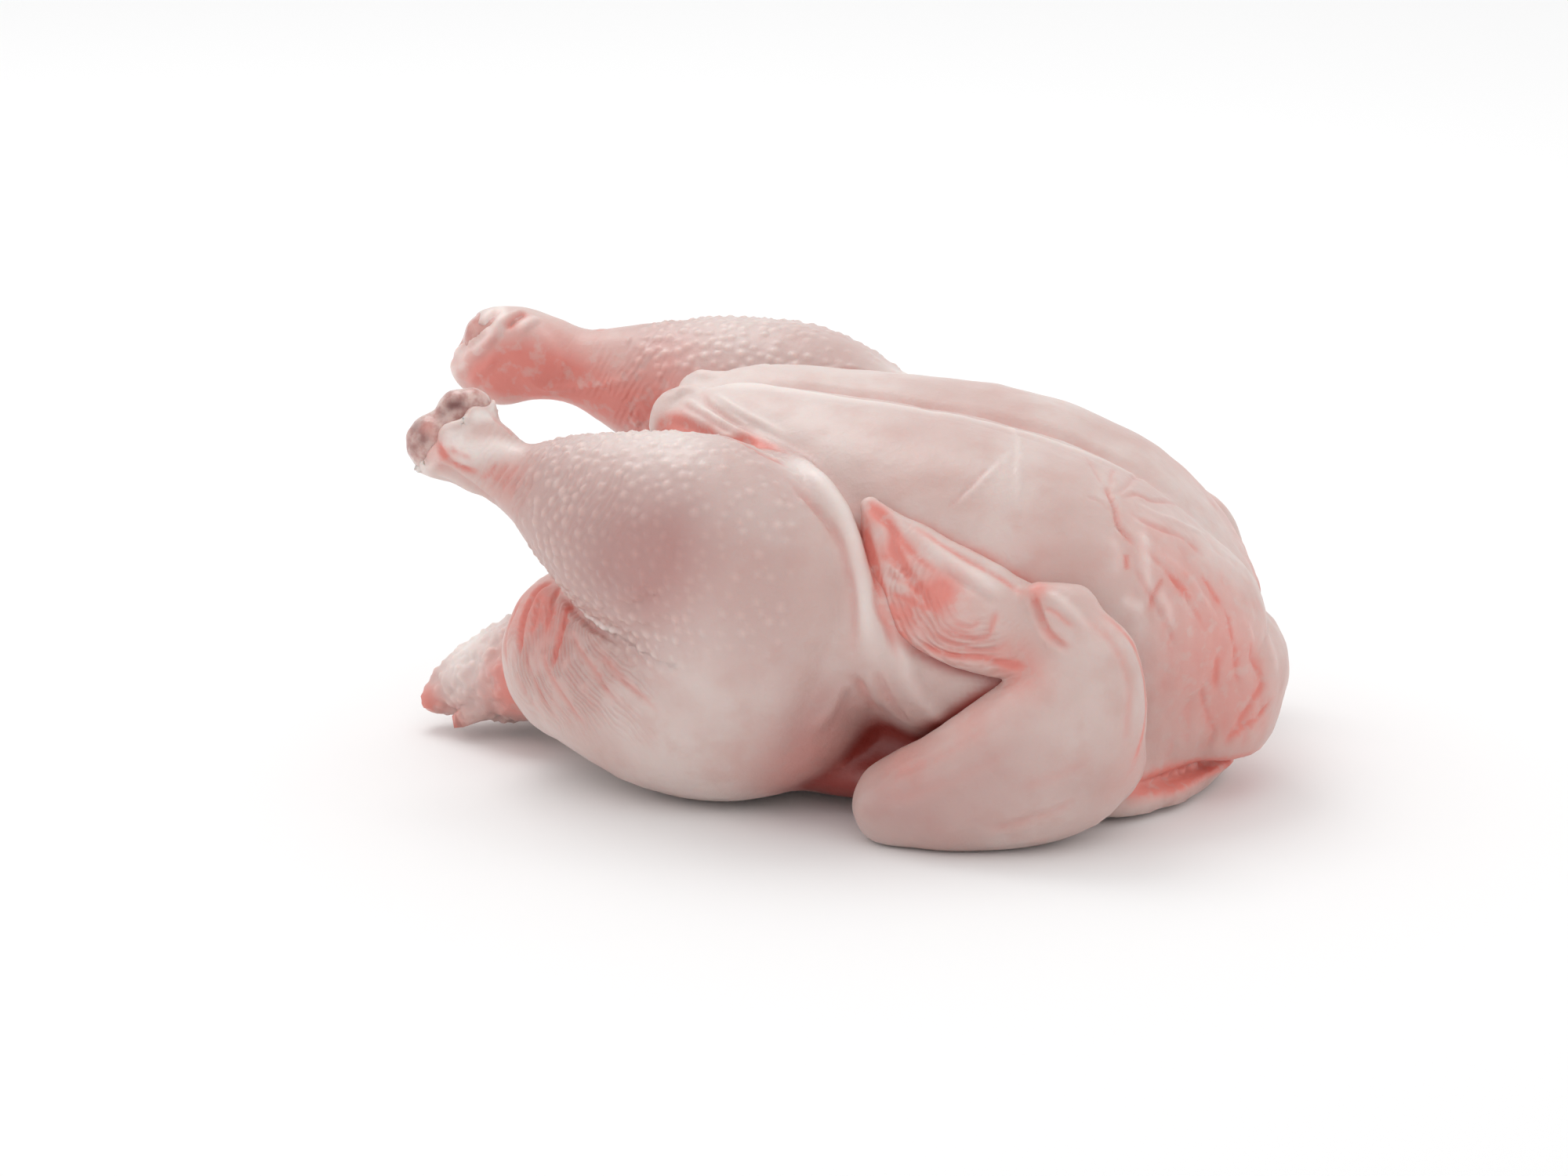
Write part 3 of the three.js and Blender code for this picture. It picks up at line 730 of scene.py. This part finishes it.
class Marks:
    """What is worked into a piece at each point: relief in millimetres, and how its skin looks.

    Raw is red. The meat showing through is darker, and between thigh and wing the same value is painted
    shade. Deep is dark red: painted shade on the skin, dark spots on the cartilage. Lined is set with
    fine lines.
    """

    def __init__(self, points):
        self.points = points
        self.relief, self.raw, self.pale, self.flesh, self.deep, self.lined = np.zeros((6, len(points)))
        # Counts the fine lines from one side to the other.
        self.across = (ACROSS_X * points[:, 0] + ACROSS_Z * points[:, 2]) / LINE_GAP

    def lines(self, lines):
        """Raises or sinks each line, with a faint wave of the other kind beside it."""
        for path, (width, height, raw, pale) in lines:
            low, high = path.min(0) - 5 * width, path.max(0) + 5 * width
            near = np.flatnonzero(((self.points > low) & (self.points < high)).all(1))
            station, distance = nearest_on(path, self.points[near])
            share = station / (len(path) - 1)
            strength = ramp(share, 0, 0.25) * ramp(1 - share, 0, 0.25)
            off = distance / width
            self.relief[near] += height * strength * (bell(off, 1.4) - 0.35 * bell(off - 2.2, 1.1))
            self.raw[near] += raw * strength * bell(off, 1.4)
            self.pale[near] += pale * strength * bell(off, 1.6)

    def places(self, look, places, side=list):
        """Adds soft round patches to one of the looks."""
        for middle, reach, strength in places:
            middle = np.asarray(side([middle])[0], float)
            look += strength * bell(np.linalg.norm(self.points - middle, axis=1), reach)

    def unevenness(self, swells):
        """Swells of each size and height over the whole piece."""
        for size, height, seed in swells:
            self.relief += height * grain(self.points, size, seed)

    def work_into(self, piece):
        """Moves the piece's points by the relief, but never the flat that rests on the table."""
        mesh = piece.data
        lift = self.relief * ramp(self.points[:, 2], 0.2, 5)
        points = self.points + normals_of(mesh) * lift[:, None]
        points[:, 2] = np.maximum(points[:, 2], 0)
        move_points(mesh, points)
        for name in ("raw", "pale", "flesh", "deep", "lined"):
            write_values(mesh, name, np.clip(getattr(self, name), 0, 1))
        write_values(mesh, "across", self.across)


def hollowness(mesh, rounds, depth):
    """How deep each point lies in a hollow, from the gap between the surface and its smoothed self."""
    ends = np.zeros(len(mesh.edges) * 2, np.int32)
    mesh.edges.foreach_get("vertices", ends)
    ends = ends.reshape(-1, 2)
    count = len(mesh.vertices)
    both = np.concatenate([ends[:, 0], ends[:, 1]])
    other = np.concatenate([ends[:, 1], ends[:, 0]])
    neighbours = np.bincount(both, minlength=count)[:, None]
    start = points_of(mesh)
    smooth = start
    for _ in range(rounds):
        total = np.stack([np.bincount(both, smooth[other, axis], count) for axis in range(3)], 1)
        smooth = 0.4 * smooth + 0.6 * total / neighbours
    return ((smooth - start) * normals_of(mesh)).sum(1) / depth


def box_round(forms):
    """Two corners of a box with a little room round the forms."""
    low, high = np.min([form.low for form in forms], 0), np.max([form.high for form in forms], 0)
    return low - BOX_ROOM, high + BOX_ROOM


def raised(name, field, low, high, net):
    """A piece whose surface is caught in a net and settled on its field."""
    corners, faces = caught(field, low, high, net)
    return new_piece(name, settled(field, corners), faces)


def made_closer(piece, field, wanted):
    """Refines a part of a piece, and gives its points after they are settled again."""
    refine(piece.data, wanted)
    points = settled(field, points_of(piece.data), 1)
    move_points(piece.data, points)
    return points


wing_sides = [("left_wing", list, WING_FACING), ("right_wing", mirrored, mirrored([WING_FACING])[0])]
wing_shapes = [wing_forms(side, facing) for _, side, facing in wing_sides]

# ---- the skin ----


def is_outside(points):
    """False deep in the body cavity, inside a wing and underneath, and true everywhere else."""
    hidden = (cavity(points) < 1) & (points[:, 0] > -60)
    for forms in wing_shapes:
        hidden |= wing_field(points, forms) < -2.5
    return ~hidden & (points[:, 2] > 3)


def plucked(points):
    """Where the skin is set with goose-pimples: all round the drumsticks and less over the thighs."""
    amount = np.zeros(len(points))
    for drumstick, thigh in zip(drumsticks, thighs):
        over_drumstick = 1 - ramp(drumstick(points), 1.5, 7)
        over_thigh = 0.4 * (1 - ramp(thigh(points), 1, 5)) * ramp(points[:, 2], 20, 44)
        amount = np.maximum(amount, np.maximum(over_drumstick, over_thigh))
    along = ramp(points[:, 0], -80, -62) * (1 - ramp(points[:, 0], 0, 10))
    amount *= along * ramp(np.abs(points[:, 1]), 22, 34)
    amount *= 1 - 0.4 * ramp(points[:, 0], -40, -12)
    over_tail = 0.9 * (1 - ramp(tail(points), 0.5, 4)) * (1 - ramp(points[:, 0], -90, -82))
    return np.maximum(amount, over_tail) * ramp(cavity(points), 1, 4)


skin = raised("chicken_skin", skin_field, *SKIN_BOX, SKIN_NET)
made_closer(skin, skin_field, is_outside)

skin_lines = [
    *drawn_lines(skin_field, SKIN_LINES + LEFT_LINES, drift=0.4, seed=3),
    *drawn_lines(skin_field, pleats(), drift=1, seed=5),
    *drawn_lines(skin_field, SKIN_LINES + pleats(), mirrored, drift=3, seed=11),
    *drawn_lines(skin_field, RIGHT_LINES, drift=0.3, seed=7),
]


def is_detailed(points):
    """True where goose-pimples, fine lines or the cut round the hocks need a closer mesh."""
    wanted = plucked(points) > 0.45
    for path, (width, *_) in skin_lines:
        if width < 1.8:
            low, high = path.min(0) - 4, path.max(0) + 4
            near = np.flatnonzero(((points > low) & (points < high)).all(1))
            wanted[near[nearest_on(path, points[near])[1] < 1 + 1.6 * width]] = True
    for knobs in hocks:
        wanted |= np.abs(hock_field(points, knobs)) < 3
    return wanted & is_outside(points)


def skin_swells(marks):
    """Swells all over, the knobbly tail, and fine upright wrinkles where the neck end gathers."""
    points = marks.points
    marks.unevenness(SKIN_SWELLS)
    over_tail = (1 - ramp(tail(points), 0, 4)) * (1 - ramp(points[:, 0], -92, -84))
    marks.relief += over_tail * (1.3 * grain(points, 4.5, 4) + 0.5 * grain(points, 2.2, 5))
    gathered = ramp(points[:, 0], 74, 90) * ramp(points[:, 2], 8, 18) * (1 - ramp(points[:, 2], 62, 78))
    wrinkled = grain(points * (1, 1, 0.35), 3.2, 6)
    marks.relief += 0.4 * gathered * wrinkled
    marks.raw += 0.45 * gathered * np.clip(-wrinkled - 0.15, 0, 1)
    marks.pale += 0.3 * gathered * np.clip(wrinkled - 0.2, 0, 1)


def skin_patches(marks):
    """The patches of both sides, among them painted shade and painted highlights, and the way that the
    fine lines run over the thighs.
    """
    for side in (list, mirrored):
        marks.places(marks.raw, BLUSHES_AND_PAINTED_SHADE, side)
        marks.places(marks.pale, PALE_SKIN_AND_PAINTED_HIGHLIGHTS, side)
        marks.places(marks.flesh, SKIN_FLESH_AND_PAINTED_SHADE, side)
        marks.places(marks.deep, PAINTED_SHADE_PLACES, side)
        marks.places(marks.lined, LINED_SKIN, side)
    marks.places(marks.raw, RIGHT_BLUSHES)
    x, y, z = marks.points.T
    on_left = np.column_stack([x, -np.abs(y), z])
    pleated = (thighs[0](on_left) < drumsticks[0](on_left)) & (x < -20) & (z < 54)
    marks.across[pleated] = across_pleats(on_left[pleated])


def skin_by_wings(marks):
    """Raw along the wings; far in between thigh and wing, painted shade in dark red and in the darker
    colour of meat under the skin.
    """
    x, y, z = marks.points.T
    lowness = ramp(z, 34, 6)
    far_in, farthest_in = ramp(np.abs(y), 66, 54), ramp(np.abs(y), 60, 52)
    between = ramp(x, -16, 0) * (1 - ramp(x, 48, 60))
    for forms in wing_shapes:
        gap = np.maximum(wing_field(marks.points, forms), 0)
        marks.raw += 0.6 * bell(gap, 1.8)
        # Painted shade in dark red, along the wing's edge and low in the gap between thigh and wing.
        marks.deep += between * bell(gap, 2 + 2 * lowness) * ramp(z, 54, 42)
        marks.deep += 0.35 * between * (1 - ramp(gap, 8, 18)) * far_in * ramp(z, 44, 30)
        marks.deep += 0.8 * between * (1 - ramp(gap, 14, 24)) * farthest_in * ramp(z, 44, 30)
        # Painted shade: the darker colour of meat under the skin, laid over the same gap.
        marks.flesh += 0.2 * between * (1 - ramp(gap, 8, 24)) * ramp(z, 48, 30)


def skin_at_openings(marks):
    """Raw in the neck slit, pale along the rims at the hocks, and red inside the cavity, darkened there
    with painted shade.
    """
    points = marks.points
    marks.raw += 1.5 * bell(np.maximum(neck_slit(points), 0), 1.8) * ramp(points[:, 0], 76, 82)
    for knobs, rim in zip(hocks, rims):
        off_hock = hock_field(points, knobs)
        marks.raw += 0.3 * bell(off_hock, 0.6)
        marks.pale += (1 - ramp(off_hock, 2, 5)) * bell(past_rim(points, rim) + 1.8, 1.6)
    inside_cavity = 1 - ramp(cavity(points), 0.5, 3)
    marks.raw += 0.9 * inside_cavity
    # Painted shade inside the cavity.
    marks.deep += 0.35 * inside_cavity
    marks.pale *= 1 - inside_cavity


made_closer(skin, skin_field, is_detailed)
skin_marks = Marks(points_of(skin.data))
skin_swells(skin_marks)
skin_marks.lines(skin_lines)
skin_patches(skin_marks)
skin_by_wings(skin_marks)
skin_at_openings(skin_marks)
# Hollows are reddened: the red of raw skin in its creases, and painted shade.
skin_marks.raw += 0.5 * np.clip(hollowness(skin.data, 14, 2.2), 0, 1) ** 1.5
skin_marks.work_into(skin)
write_values(skin.data, "plucked", plucked(skin_marks.points))

# ---- the wings ----


def folded_wing(name, side, forms):
    """A wing with its own lines: those of the left one closely, those of the right one freely."""
    field = partial(wing_field, forms=forms)
    wing = raised(name, field, *box_round(forms), WING_NET)
    points = made_closer(wing, field, lambda points: points[:, 2] > 0.8)
    marks = Marks(points)
    marks.unevenness(WING_SWELLS)
    if name == "left_wing":
        marks.lines(drawn_lines(field, WING_LINES + WING_EDGE, side, drift=0.3, seed=31))
    else:
        marks.lines(drawn_lines(field, WING_LINES, side, drift=2, seed=41))
    marks.places(marks.raw, WING_BLUSHES, side)
    marks.places(marks.flesh, WING_FLESH, side)
    marks.places(marks.lined, LINED_WING, side)
    marks.across = np.linalg.norm(points - side([HAND_HOLLOW])[0], axis=1) / LINE_GAP
    marks.raw += 0.6 * bell(np.maximum(skin_field(points), 0), 1.5)
    # Hollows are reddened: the red of raw skin in its creases, and painted shade.
    marks.raw += 0.5 * np.clip(hollowness(wing.data, 14, 1.6), 0, 1) ** 1.5
    marks.work_into(wing)
    return wing


wings = [folded_wing(name, side, forms) for (name, side, _), forms in zip(wing_sides, wing_shapes)]

# ---- the hocks ----


def bare_hock(name, knobs, redness, spots):
    """The cartilage at the end of a shank, with dark dents at its spots."""
    hock = raised(name, partial(hock_field, knobs=knobs), *box_round(knobs), HOCK_NET)
    marks = Marks(points_of(hock.data))
    marks.unevenness(HOCK_SWELLS)
    marks.raw += np.clip(1.6 * grain(marks.points, 4, 53) - 0.1, 0, 1) + redness
    marks.places(marks.deep, spots)
    marks.relief -= 0.8 * marks.deep
    marks.work_into(hock)
    return hock


hock_pieces = [
    bare_hock("left_hock", hocks[0], 0, HOCK_SPOTS),
    bare_hock("right_hock", hocks[1], 0.9, []),
]
pieces = [skin, *wings, *hock_pieces]

# ---- finish ----


def tint(*values):
    """A colour from its red, green and blue, each from 0 to 255."""
    shares = [value / 255 for value in values]
    light = [((share + 0.055) / 1.055) ** 2.4 if share > 0.04 else share / 12.92 for share in shares]
    return (*light, 1)


SKIN, PINKER_SKIN, DARKER_BLOTCH = tint(211, 192, 186), tint(199, 169, 162), tint(196, 154, 145)
# The colour of meat through the skin, also used as painted shade between thigh and wing.
FLESH_THROUGH_SKIN_AND_PAINTED_SHADE = tint(164, 118, 113)
# Between the pimples: pinker skin, partly painted shade; on them: a painted highlight.
BETWEEN_PIMPLES, PAINTED_HIGHLIGHT_ON_PIMPLES = tint(182, 146, 141), tint(222, 200, 194)
IN_FINE_LINES = tint(186, 122, 114)
# Pale drawn skin, also used for painted highlights on the tops of breast, drumsticks and thigh.
DRAWN_SKIN_AND_PAINTED_HIGHLIGHT = tint(232, 223, 218)
# The dark red is painted shade, deep between the forms and inside the cavity.
RAW_RED, PAINTED_SHADE_RED = tint(218, 124, 112), tint(144, 56, 48)
CARTILAGE, PINK_CARTILAGE = tint(206, 176, 168), tint(174, 126, 119)
CARTILAGE_RED, CARTILAGE_SPOT = tint(192, 118, 108), tint(104, 52, 48)

# The goose-pimples, in metres, and which pattern of them.
PIMPLE_SPACING, PIMPLE_REACH, PIMPLE_HEIGHT = 0.0023, 0.0018, 0.0007
PIMPLE_PATTERN = 5
SMALLEST_PIMPLE, LARGEST_PIMPLE = 0.6, 1.05
MOST_PIMPLES = 500000.0


def fill(tree, node, inputs):
    """Sets or links a node's inputs."""
    for socket, value in inputs.items():
        if isinstance(value, bpy.types.NodeSocket):
            tree.links.new(value, node.inputs[socket])
        else:
            node.inputs[socket].default_value = value


def add(tree, kind, inputs=None, **settings):
    """A node with its settings made and its inputs set or linked."""
    node = tree.nodes.new(kind)
    for name, value in settings.items():
        setattr(node, name, value)
    fill(tree, node, inputs or {})
    return node


def maths(tree, operation, *numbers, clamp=False):
    """The result of a sum, held between 0 and 1 where that is asked."""
    inputs = dict(enumerate(numbers))
    return add(tree, "ShaderNodeMath", inputs, operation=operation, use_clamp=clamp).outputs[0]


def goose_pimple_tree(material):
    """Small swellings strewn over the skin where it is plucked."""
    tree = bpy.data.node_groups.new("goose_pimples", "GeometryNodeTree")
    tree.interface.new_socket("Skin", in_out="OUTPUT", socket_type="NodeSocketGeometry")
    tree.interface.new_socket("Skin", in_out="INPUT", socket_type="NodeSocketGeometry")
    for name in ("Spacing", "Reach", "Height"):
        tree.interface.new_socket(name, in_out="INPUT", socket_type="NodeSocketFloat")
    tree.interface.new_socket("Seed", in_out="INPUT", socket_type="NodeSocketInt")
    given = tree.nodes.new("NodeGroupInput").outputs
    plucked_here = add(tree, "GeometryNodeInputNamedAttribute", {"Name": "plucked"}, data_type="FLOAT")
    amount = plucked_here.outputs[0]
    strewn = add(
        tree, "GeometryNodeDistributePointsOnFaces",
        {"Mesh": given["Skin"], "Distance Min": given["Spacing"], "Density Max": MOST_PIMPLES,
         "Density Factor": amount, "Seed": given["Seed"]},
        distribute_method="POISSON",
    ).outputs["Points"]
    nearest = add(tree, "GeometryNodeProximity", {"Geometry": strewn}, target_element="POINTS")
    # Each pimple has a size of its own.
    drawn = add(tree, "FunctionNodeRandomValue", data_type="FLOAT")
    for socket, number in (("Min", SMALLEST_PIMPLE), ("Max", LARGEST_PIMPLE)):
        next(s for s in drawn.inputs if s.name == socket and s.type == "VALUE").default_value = number
    size = next(s for s in drawn.outputs if s.type == "VALUE")
    which = add(tree, "GeometryNodeSampleNearest", {"Geometry": strewn}, domain="POINT")
    its_size = add(
        tree, "GeometryNodeSampleIndex",
        {"Geometry": strewn, "Value": size, "Index": which.outputs["Index"]},
        data_type="FLOAT", domain="POINT",
    ).outputs["Value"]
    its_reach = maths(tree, "MULTIPLY", its_size, given["Reach"])
    rounded = add(
        tree, "ShaderNodeMapRange",
        {"Value": nearest.outputs["Distance"], "From Min": its_reach, "From Max": 0.0,
         "To Min": 0.0, "To Max": 1.0},
        interpolation_type="SMOOTHSTEP",
    ).outputs["Result"]
    swelling = maths(tree, "MULTIPLY", rounded, maths(tree, "MULTIPLY", its_size, amount))
    kept = add(
        tree, "GeometryNodeStoreNamedAttribute",
        {"Geometry": given["Skin"], "Name": "pimple", "Value": swelling},
        data_type="FLOAT", domain="POINT",
    ).outputs["Geometry"]
    outward = tree.nodes.new("GeometryNodeInputNormal").outputs["Normal"]
    height = maths(tree, "MULTIPLY", swelling, given["Height"])
    rise = add(tree, "ShaderNodeVectorMath", {0: outward, "Scale": height}, operation="SCALE")
    offset = rise.outputs["Vector"]
    moved = add(tree, "GeometryNodeSetPosition", {"Geometry": kept, "Offset": offset}).outputs["Geometry"]
    whole = add(tree, "GeometryNodeRealizeInstances", {"Geometry": moved}).outputs["Geometry"]
    dressed = add(tree, "GeometryNodeSetMaterial", {"Geometry": whole, "Material": material})
    result = tree.nodes.new("NodeGroupOutput")
    tree.links.new(dressed.outputs["Geometry"], result.inputs["Skin"])
    return tree


def put_through(piece, tree, **values):
    """Runs a piece through a node tree and keeps the result as its plain mesh."""
    modifier = piece.modifiers.new(tree.name, "NODES")
    modifier.node_group = tree
    for socket in tree.interface.items_tree:
        if socket.in_out == "INPUT" and socket.name in values:
            modifier[socket.identifier] = values[socket.name]
    graph = bpy.context.evaluated_depsgraph_get()
    result = piece.evaluated_get(graph)
    mesh = bpy.data.meshes.new_from_object(result, preserve_all_data_layers=True, depsgraph=graph)
    piece.modifiers.remove(modifier)
    old = piece.data
    piece.data = mesh
    bpy.data.meshes.remove(old)
    mesh.name = piece.name


class Finish:
    """A material whose pattern lies on the piece, and the kinds of step that it is built up from."""

    def __init__(self, name):
        self.material = bpy.data.materials.new(name)
        self.material.use_nodes = True
        self.tree = self.material.node_tree
        self.place = self.tree.nodes.new("ShaderNodeTexCoord").outputs["Object"]

    def value(self, name):
        """What was written at the piece's points under this name."""
        node = add(self.tree, "ShaderNodeAttribute", attribute_name=name, attribute_type="GEOMETRY")
        return node.outputs["Fac"]

    def cloud(self, scale, detail):
        """Smooth noise, with so many swells to the metre."""
        inputs = {"Vector": self.place, "Scale": scale, "Detail": detail}
        return add(self.tree, "ShaderNodeTexNoise", inputs).outputs["Fac"]

    def mottle(self, scale, detail, low, high):
        """Soft-edged blotches: the noise below low is left out, and above high it is full."""
        inputs = {"Value": self.cloud(scale, detail), "From Min": low, "From Max": high}
        node = add(self.tree, "ShaderNodeMapRange", inputs, interpolation_type="SMOOTHSTEP")
        return node.outputs["Result"]

    def share(self, operation, a, b):
        """The result of a sum, from 0 to 1."""
        return maths(self.tree, operation, a, b, clamp=True)

    def blend(self, share, a, b):
        """The first colour, turned to the second by a share."""
        mix = add(self.tree, "ShaderNodeMix", {0: share, 6: a, 7: b}, data_type="RGBA", clamp_factor=True)
        return mix.outputs[2]

    def bump(self, height, strength, distance, over=None):
        """Relief that is finer than the mesh, laid over another one where there is one."""
        inputs = {"Height": height, "Strength": strength, "Distance": distance}
        if over is not None:
            inputs["Normal"] = over
        return add(self.tree, "ShaderNodeBump", inputs).outputs["Normal"]

    def finished(self, inputs):
        """The material, with its surface set."""
        fill(self.tree, self.tree.nodes["Principled BSDF"], inputs)
        return self.material


def raw_skin():
    """Pale plucked skin: pink where the meat shows through, red in its creases, moist all over, with
    painted shade and painted highlights laid into its colour.
    """
    finish = Finish("raw_skin")
    plucked_here, pimple = finish.value("plucked"), finish.value("pimple")
    colour = finish.blend(finish.mottle(26, 3, 0.32, 0.68), SKIN, PINKER_SKIN)
    blotches = finish.share("MULTIPLY", finish.mottle(120, 4, 0.45, 0.75), 0.35)
    colour = finish.blend(blotches, colour, DARKER_BLOTCH)
    # Darker where meat shows through the skin, and painted shade in the gap between thigh and wing.
    through = finish.share("MULTIPLY", finish.value("flesh"), 0.9)
    colour = finish.blend(through, colour, FLESH_THROUGH_SKIN_AND_PAINTED_SHADE)
    # The darker pink between the pimples is partly the skin's own colour and partly painted shade; the
    # paler tops of the pimples are painted highlights.
    between = finish.share("SUBTRACT", 0.54, finish.share("MULTIPLY", pimple, 0.85))
    colour = finish.blend(finish.share("MULTIPLY", plucked_here, between), colour, BETWEEN_PIMPLES)
    on_top = finish.share("MULTIPLY", plucked_here, finish.share("MULTIPLY", pimple, 0.25))
    colour = finish.blend(on_top, colour, PAINTED_HIGHLIGHT_ON_PIMPLES)

    # Fine lines run where the skin is lined, one for each whole number across, wandering a little.
    across = maths(finish.tree, "MULTIPLY_ADD", finish.cloud(90, 2), 3.0, finish.value("across"))
    wave = maths(finish.tree, "SINE", maths(finish.tree, "MULTIPLY", across, math.tau))
    lined = finish.share("MULTIPLY", finish.value("lined"), finish.mottle(170, 2, 0.35, 0.6))
    groove = finish.share("MULTIPLY", lined, finish.share("MULTIPLY", wave, -0.45))
    colour = finish.blend(groove, colour, IN_FINE_LINES)

    # Pale where the skin is drawn, and painted highlights on the tops of breast and drumsticks, on the
    # thigh and along the breast's crest.
    colour = finish.blend(finish.share("MULTIPLY", finish.value("pale"), 0.85), colour, DRAWN_SKIN_AND_PAINTED_HIGHLIGHT)
    uneven = finish.share("ADD", finish.mottle(260, 5, 0.3, 0.7), 0.6)
    patchy = finish.share("MULTIPLY", finish.value("raw"), uneven)
    colour = finish.blend(finish.share("MULTIPLY", patchy, 0.9), colour, RAW_RED)
    # Painted shade: dark red deep between the forms and inside the cavity.
    colour = finish.blend(finish.value("deep"), colour, PAINTED_SHADE_RED)

    roughness = add(
        finish.tree, "ShaderNodeMapRange",
        {"Value": finish.mottle(60, 3, 0.3, 0.7), "From Min": 0, "From Max": 1,
         "To Min": 0.42, "To Max": 0.56},
    ).outputs["Result"]
    cells = add(finish.tree, "ShaderNodeTexVoronoi", {"Vector": finish.place, "Scale": 420})
    grains = maths(finish.tree, "ADD", finish.cloud(1100, 3), cells.outputs["Distance"])
    texture = finish.bump(grains, 0.25, 0.0004)
    ridges = maths(finish.tree, "MULTIPLY", wave, lined)
    return finish.finished({
        "Base Color": colour,
        "Roughness": finish.share("SUBTRACT", roughness, finish.share("MULTIPLY", plucked_here, 0.1)),
        "Normal": finish.bump(ridges, 0.5, 0.0005, over=texture),
        "Subsurface Weight": 0.35,
        "Subsurface Radius": (1.0, 0.35, 0.25),
        "Subsurface Scale": 0.003,
        "Coat Weight": 0.2,
        "Coat Roughness": 0.28,
    })


def wet_cartilage():
    """Greyish white and wet, with dark red specks."""
    finish = Finish("wet_cartilage")
    cloud = finish.cloud(420, 5)
    colours = add(finish.tree, "ShaderNodeValToRGB", {"Fac": cloud})
    stops = colours.color_ramp.elements
    stops[0].position, stops[0].color = 0.34, PINK_CARTILAGE
    stops[1].position, stops[1].color = 0.6, CARTILAGE
    reddened = finish.share("MULTIPLY", finish.value("raw"), 0.6)
    colour = finish.blend(reddened, colours.outputs["Color"], CARTILAGE_RED)
    colour = finish.blend(finish.value("deep"), colour, CARTILAGE_SPOT)
    return finish.finished({
        "Base Color": colour,
        "Roughness": 0.3,
        "Normal": finish.bump(cloud, 0.4, 0.0006),
        "Subsurface Weight": 0.2,
        "Subsurface Scale": 0.002,
        "Coat Weight": 0.5,
        "Coat Roughness": 0.15,
    })


skin_finish, hock_finish = raw_skin(), wet_cartilage()
put_through(
    skin, goose_pimple_tree(skin_finish),
    Spacing=PIMPLE_SPACING, Reach=PIMPLE_REACH, Height=PIMPLE_HEIGHT, Seed=PIMPLE_PATTERN,
)
for piece in pieces:
    piece.data.materials.clear()
    piece.data.materials.append(hock_finish if piece in hock_pieces else skin_finish)
    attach(piece, "root")
    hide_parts("chicken")

# ---- table, light and camera ----

WHITE = (1, 1, 1, 1)
NEARLY_WHITE = (0.9, 0.9, 0.9, 1)
TABLE_SIZE = 8

bpy.ops.mesh.primitive_plane_add(size=TABLE_SIZE)
table = bpy.context.object
table.name = "table"
pale = bpy.data.materials.new("pale_table")
pale.use_nodes = True
top = pale.node_tree.nodes["Principled BSDF"]
fill(pale.node_tree, top, {"Base Color": NEARLY_WHITE, "Roughness": 0.9})
table.data.materials.append(pale)

world = bpy.data.worlds.new("studio")
bpy.context.scene.world = world
world.use_nodes = True
backdrop = world.node_tree.nodes["Background"]
fill(world.node_tree, backdrop, {"Color": WHITE, "Strength": 0.98})


def soft_lamp(name, place, aim, size, watts):
    """A square lamp that shines from a place to an aim."""
    lamp = bpy.data.lights.new(name, "AREA")
    lamp.size = size
    lamp.energy = watts
    holder = bpy.data.objects.new(name, lamp)
    bpy.context.scene.collection.objects.link(holder)
    holder.location = place
    holder.rotation_euler = (Vector(aim) - Vector(place)).to_track_quat("-Z", "Y").to_euler()


soft_lamp("overhead", place=(-0.4, 0.35, 1.1), aim=(0, 0, 0.05), size=0.65, watts=3.4)

# The camera stands before the bird's left side, a little towards the neck and above, in metres.
CAMERA_AIM = Vector((-MIDDLE_X, 0, 45)) * MM
AZIMUTH, ELEVATION = math.radians(15), math.radians(15)
CAMERA_DISTANCE = 1.5
CAMERA_LEFT, CAMERA_DOWN = 0.018, 0.001
LENS, SENSOR_WIDTH, FARTHEST_SEEN = 135, 36, 20

back_of_camera = Vector((
    math.sin(AZIMUTH) * math.cos(ELEVATION),
    -math.cos(AZIMUTH) * math.cos(ELEVATION),
    math.sin(ELEVATION),
))
right_of_camera = Vector((math.cos(AZIMUTH), math.sin(AZIMUTH), 0))
top_of_camera = back_of_camera.cross(right_of_camera)
camera = bpy.data.objects.new("camera", bpy.data.cameras.new("camera"))
camera.data.lens = LENS
camera.data.sensor_width = SENSOR_WIDTH
camera.data.clip_end = FARTHEST_SEEN
camera_place = CAMERA_AIM + back_of_camera * CAMERA_DISTANCE
camera_place -= right_of_camera * CAMERA_LEFT
camera_place -= top_of_camera * CAMERA_DOWN
turn = Matrix((right_of_camera, top_of_camera, back_of_camera)).transposed()
camera.matrix_world = Matrix.Translation(camera_place) @ turn.to_4x4()
bpy.context.scene.collection.objects.link(camera)
bpy.context.scene.camera = camera
bpy.context.scene.view_settings.view_transform = "Standard"

for piece in pieces:
    triangles = sum(len(polygon.vertices) - 2 for polygon in piece.data.polygons)
    print(piece.name, "triangles", triangles)
